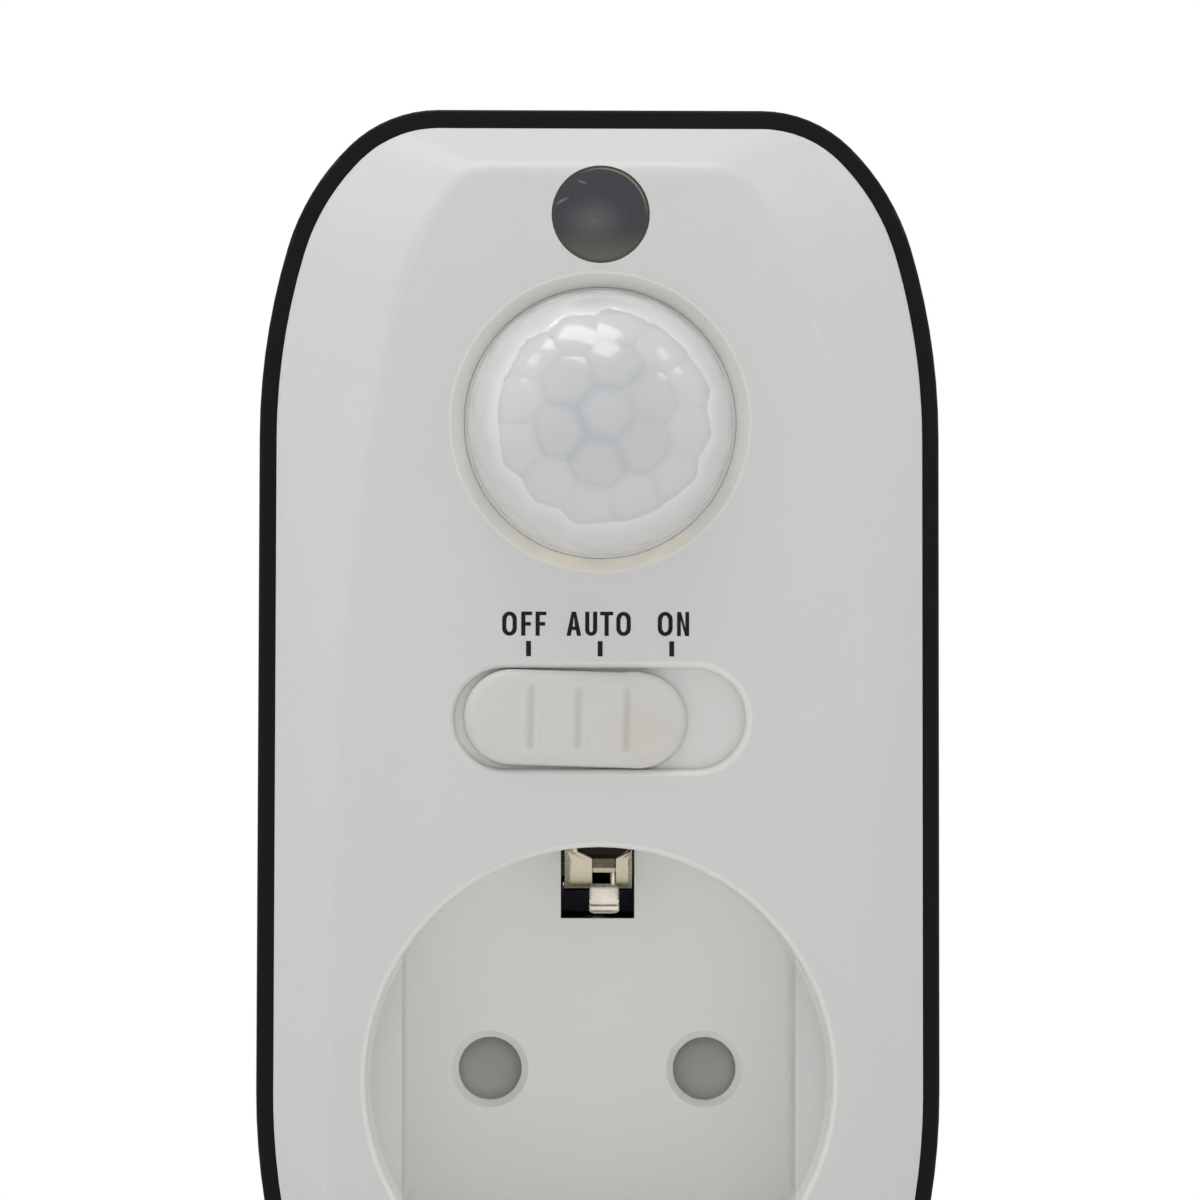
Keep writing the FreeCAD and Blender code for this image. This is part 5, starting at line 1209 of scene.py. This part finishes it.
def soften(node, width):
    """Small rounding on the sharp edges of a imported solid, of a width in mm."""
    weld = node.modifiers.new("weld", "WELD")
    weld.merge_threshold = ROUNDING_WELD * MM
    bevel = node.modifiers.new("soft_edges", "BEVEL")
    bevel.width = width * MM
    bevel.segments = ROUNDING_STEPS
    bevel.limit_method = "ANGLE"
    bevel.angle_limit = math.radians(ROUNDING_ANGLE)
    bevel.harden_normals = True


def paint_nodes():
    """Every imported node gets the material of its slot."""
    for subpart in frame["record"]["subparts"]:
        node = nodes[subpart["node"]]
        node.data.materials.clear()
        node.data.materials.append(materials[subpart["material_slot"]])


def seen_directly(tree):
    """1 for rays from the camera, off a mirror or through glass, and 0 for those that light."""
    ray = add(tree, "ShaderNodeLightPath").outputs
    seen = maths(tree, "MAXIMUM", ray["Is Camera Ray"], ray["Is Glossy Ray"])
    return maths(tree, "MAXIMUM", seen, ray["Is Transmission Ray"])


def floor_pale():
    """Pale matt floor that fades to white further out."""
    tree, shader = new_material("floor_pale", [("Roughness", 0.7)])
    tone = mixed(tree, noise(tree, size=60.0), (0.86, 0.86, 0.86, 1.0), (0.9, 0.9, 0.9, 1.0))
    feed(tree, shader, "Base Color", tone)
    away = add(tree, "ShaderNodeVectorMath", [(0, position(tree))], operation="LENGTH").outputs["Value"]
    fade = ranged(tree, away, FLOOR_FADE_START * MM, FLOOR_FADE_END * MM, 0.0, 1.0, "SMOOTHSTEP")
    white = add(tree, "ShaderNodeEmission", [("Color", WHITE), ("Strength", 1.0)]).outputs[0]
    share = product(tree, seen_directly(tree), fade)
    mix = add(tree, "ShaderNodeMixShader", [(0, share), (1, shader.outputs[0]), (2, white)])
    tree.links.new(mix.outputs[0], tree.nodes["Material Output"].inputs[0])


def floor():
    """Plain floor that keeps the shadow near the object."""
    size = FLOOR_HALF_SIZE * MM
    level = FLOOR_LEVEL * MM
    mesh = bpy.data.meshes.new("floor")
    corners = [(-size, -size, level), (size, -size, level), (size, size, level), (-size, size, level)]
    mesh.from_pydata(corners, [], [(0, 1, 2, 3)])
    mesh.materials.append(materials["floor_pale"])
    in_scene("floor", mesh)


def world():
    """Plain surround: white where it is seen or mirrored, softer as a light."""
    surround = bpy.data.worlds.new("surround")
    bpy.context.scene.world = surround
    surround.use_nodes = True
    tree = surround.node_tree
    light = tree.nodes["Background"]
    light.inputs["Color"].default_value = WHITE
    light.inputs["Strength"].default_value = WORLD_LIGHT
    white = add(tree, "ShaderNodeBackground", [("Color", WHITE), ("Strength", 1.0)]).outputs[0]
    mix = add(tree, "ShaderNodeMixShader", [(0, seen_directly(tree)), (1, light.outputs[0]), (2, white)])
    tree.links.new(mix.outputs[0], tree.nodes["World Output"].inputs[0])


def lamps():
    """Soft lamps above, at the sides, and one on the floor in front of the object."""
    for name, place, aim, width, height, spread, watts in LAMPS:
        light = bpy.data.lights.new(name, "AREA")
        light.shape = "RECTANGLE"
        light.size = width * MM
        light.size_y = height * MM
        light.spread = math.radians(spread)
        light.energy = watts
        lamp = in_scene(name, light)
        lamp.location = at(*place)
        lamp.rotation_euler = (at(*aim) - lamp.location).to_track_quat("-Z", "Y").to_euler()


def camera():
    """Camera at the photograph's place and framing."""
    data = bpy.data.cameras.new("camera")
    data.sensor_width = CAMERA_SENSOR
    data.lens = CAMERA_LENS
    data.clip_start = CAMERA_NEAR * MM
    view = in_scene("camera", data)
    view.location = at(*CAMERA_PLACE)
    level = (at(*CAMERA_AIM) - view.location).to_track_quat("-Z", "Y").to_matrix()
    view.rotation_euler = (level @ Matrix.Rotation(math.radians(CAMERA_ROLL), 3, "Z")).to_euler()
    bpy.context.scene.camera = view


seen_plastics()
inner_plastics()
metals()
lens_milk()
window_smoke()
sensor_clear()
floor_pale()
paint_nodes()
soften(nodes["rear_cover"], COVER_ROUNDING)
earth_clip("earth_clip_top", "earth_strip_top", 1)
earth_clip("earth_clip_bottom", "earth_strip_bottom", -1)
spring()
lens()
knob()
lettering()
floor()
world()
lamps()
camera()
bpy.context.scene.view_settings.view_transform = "Standard"
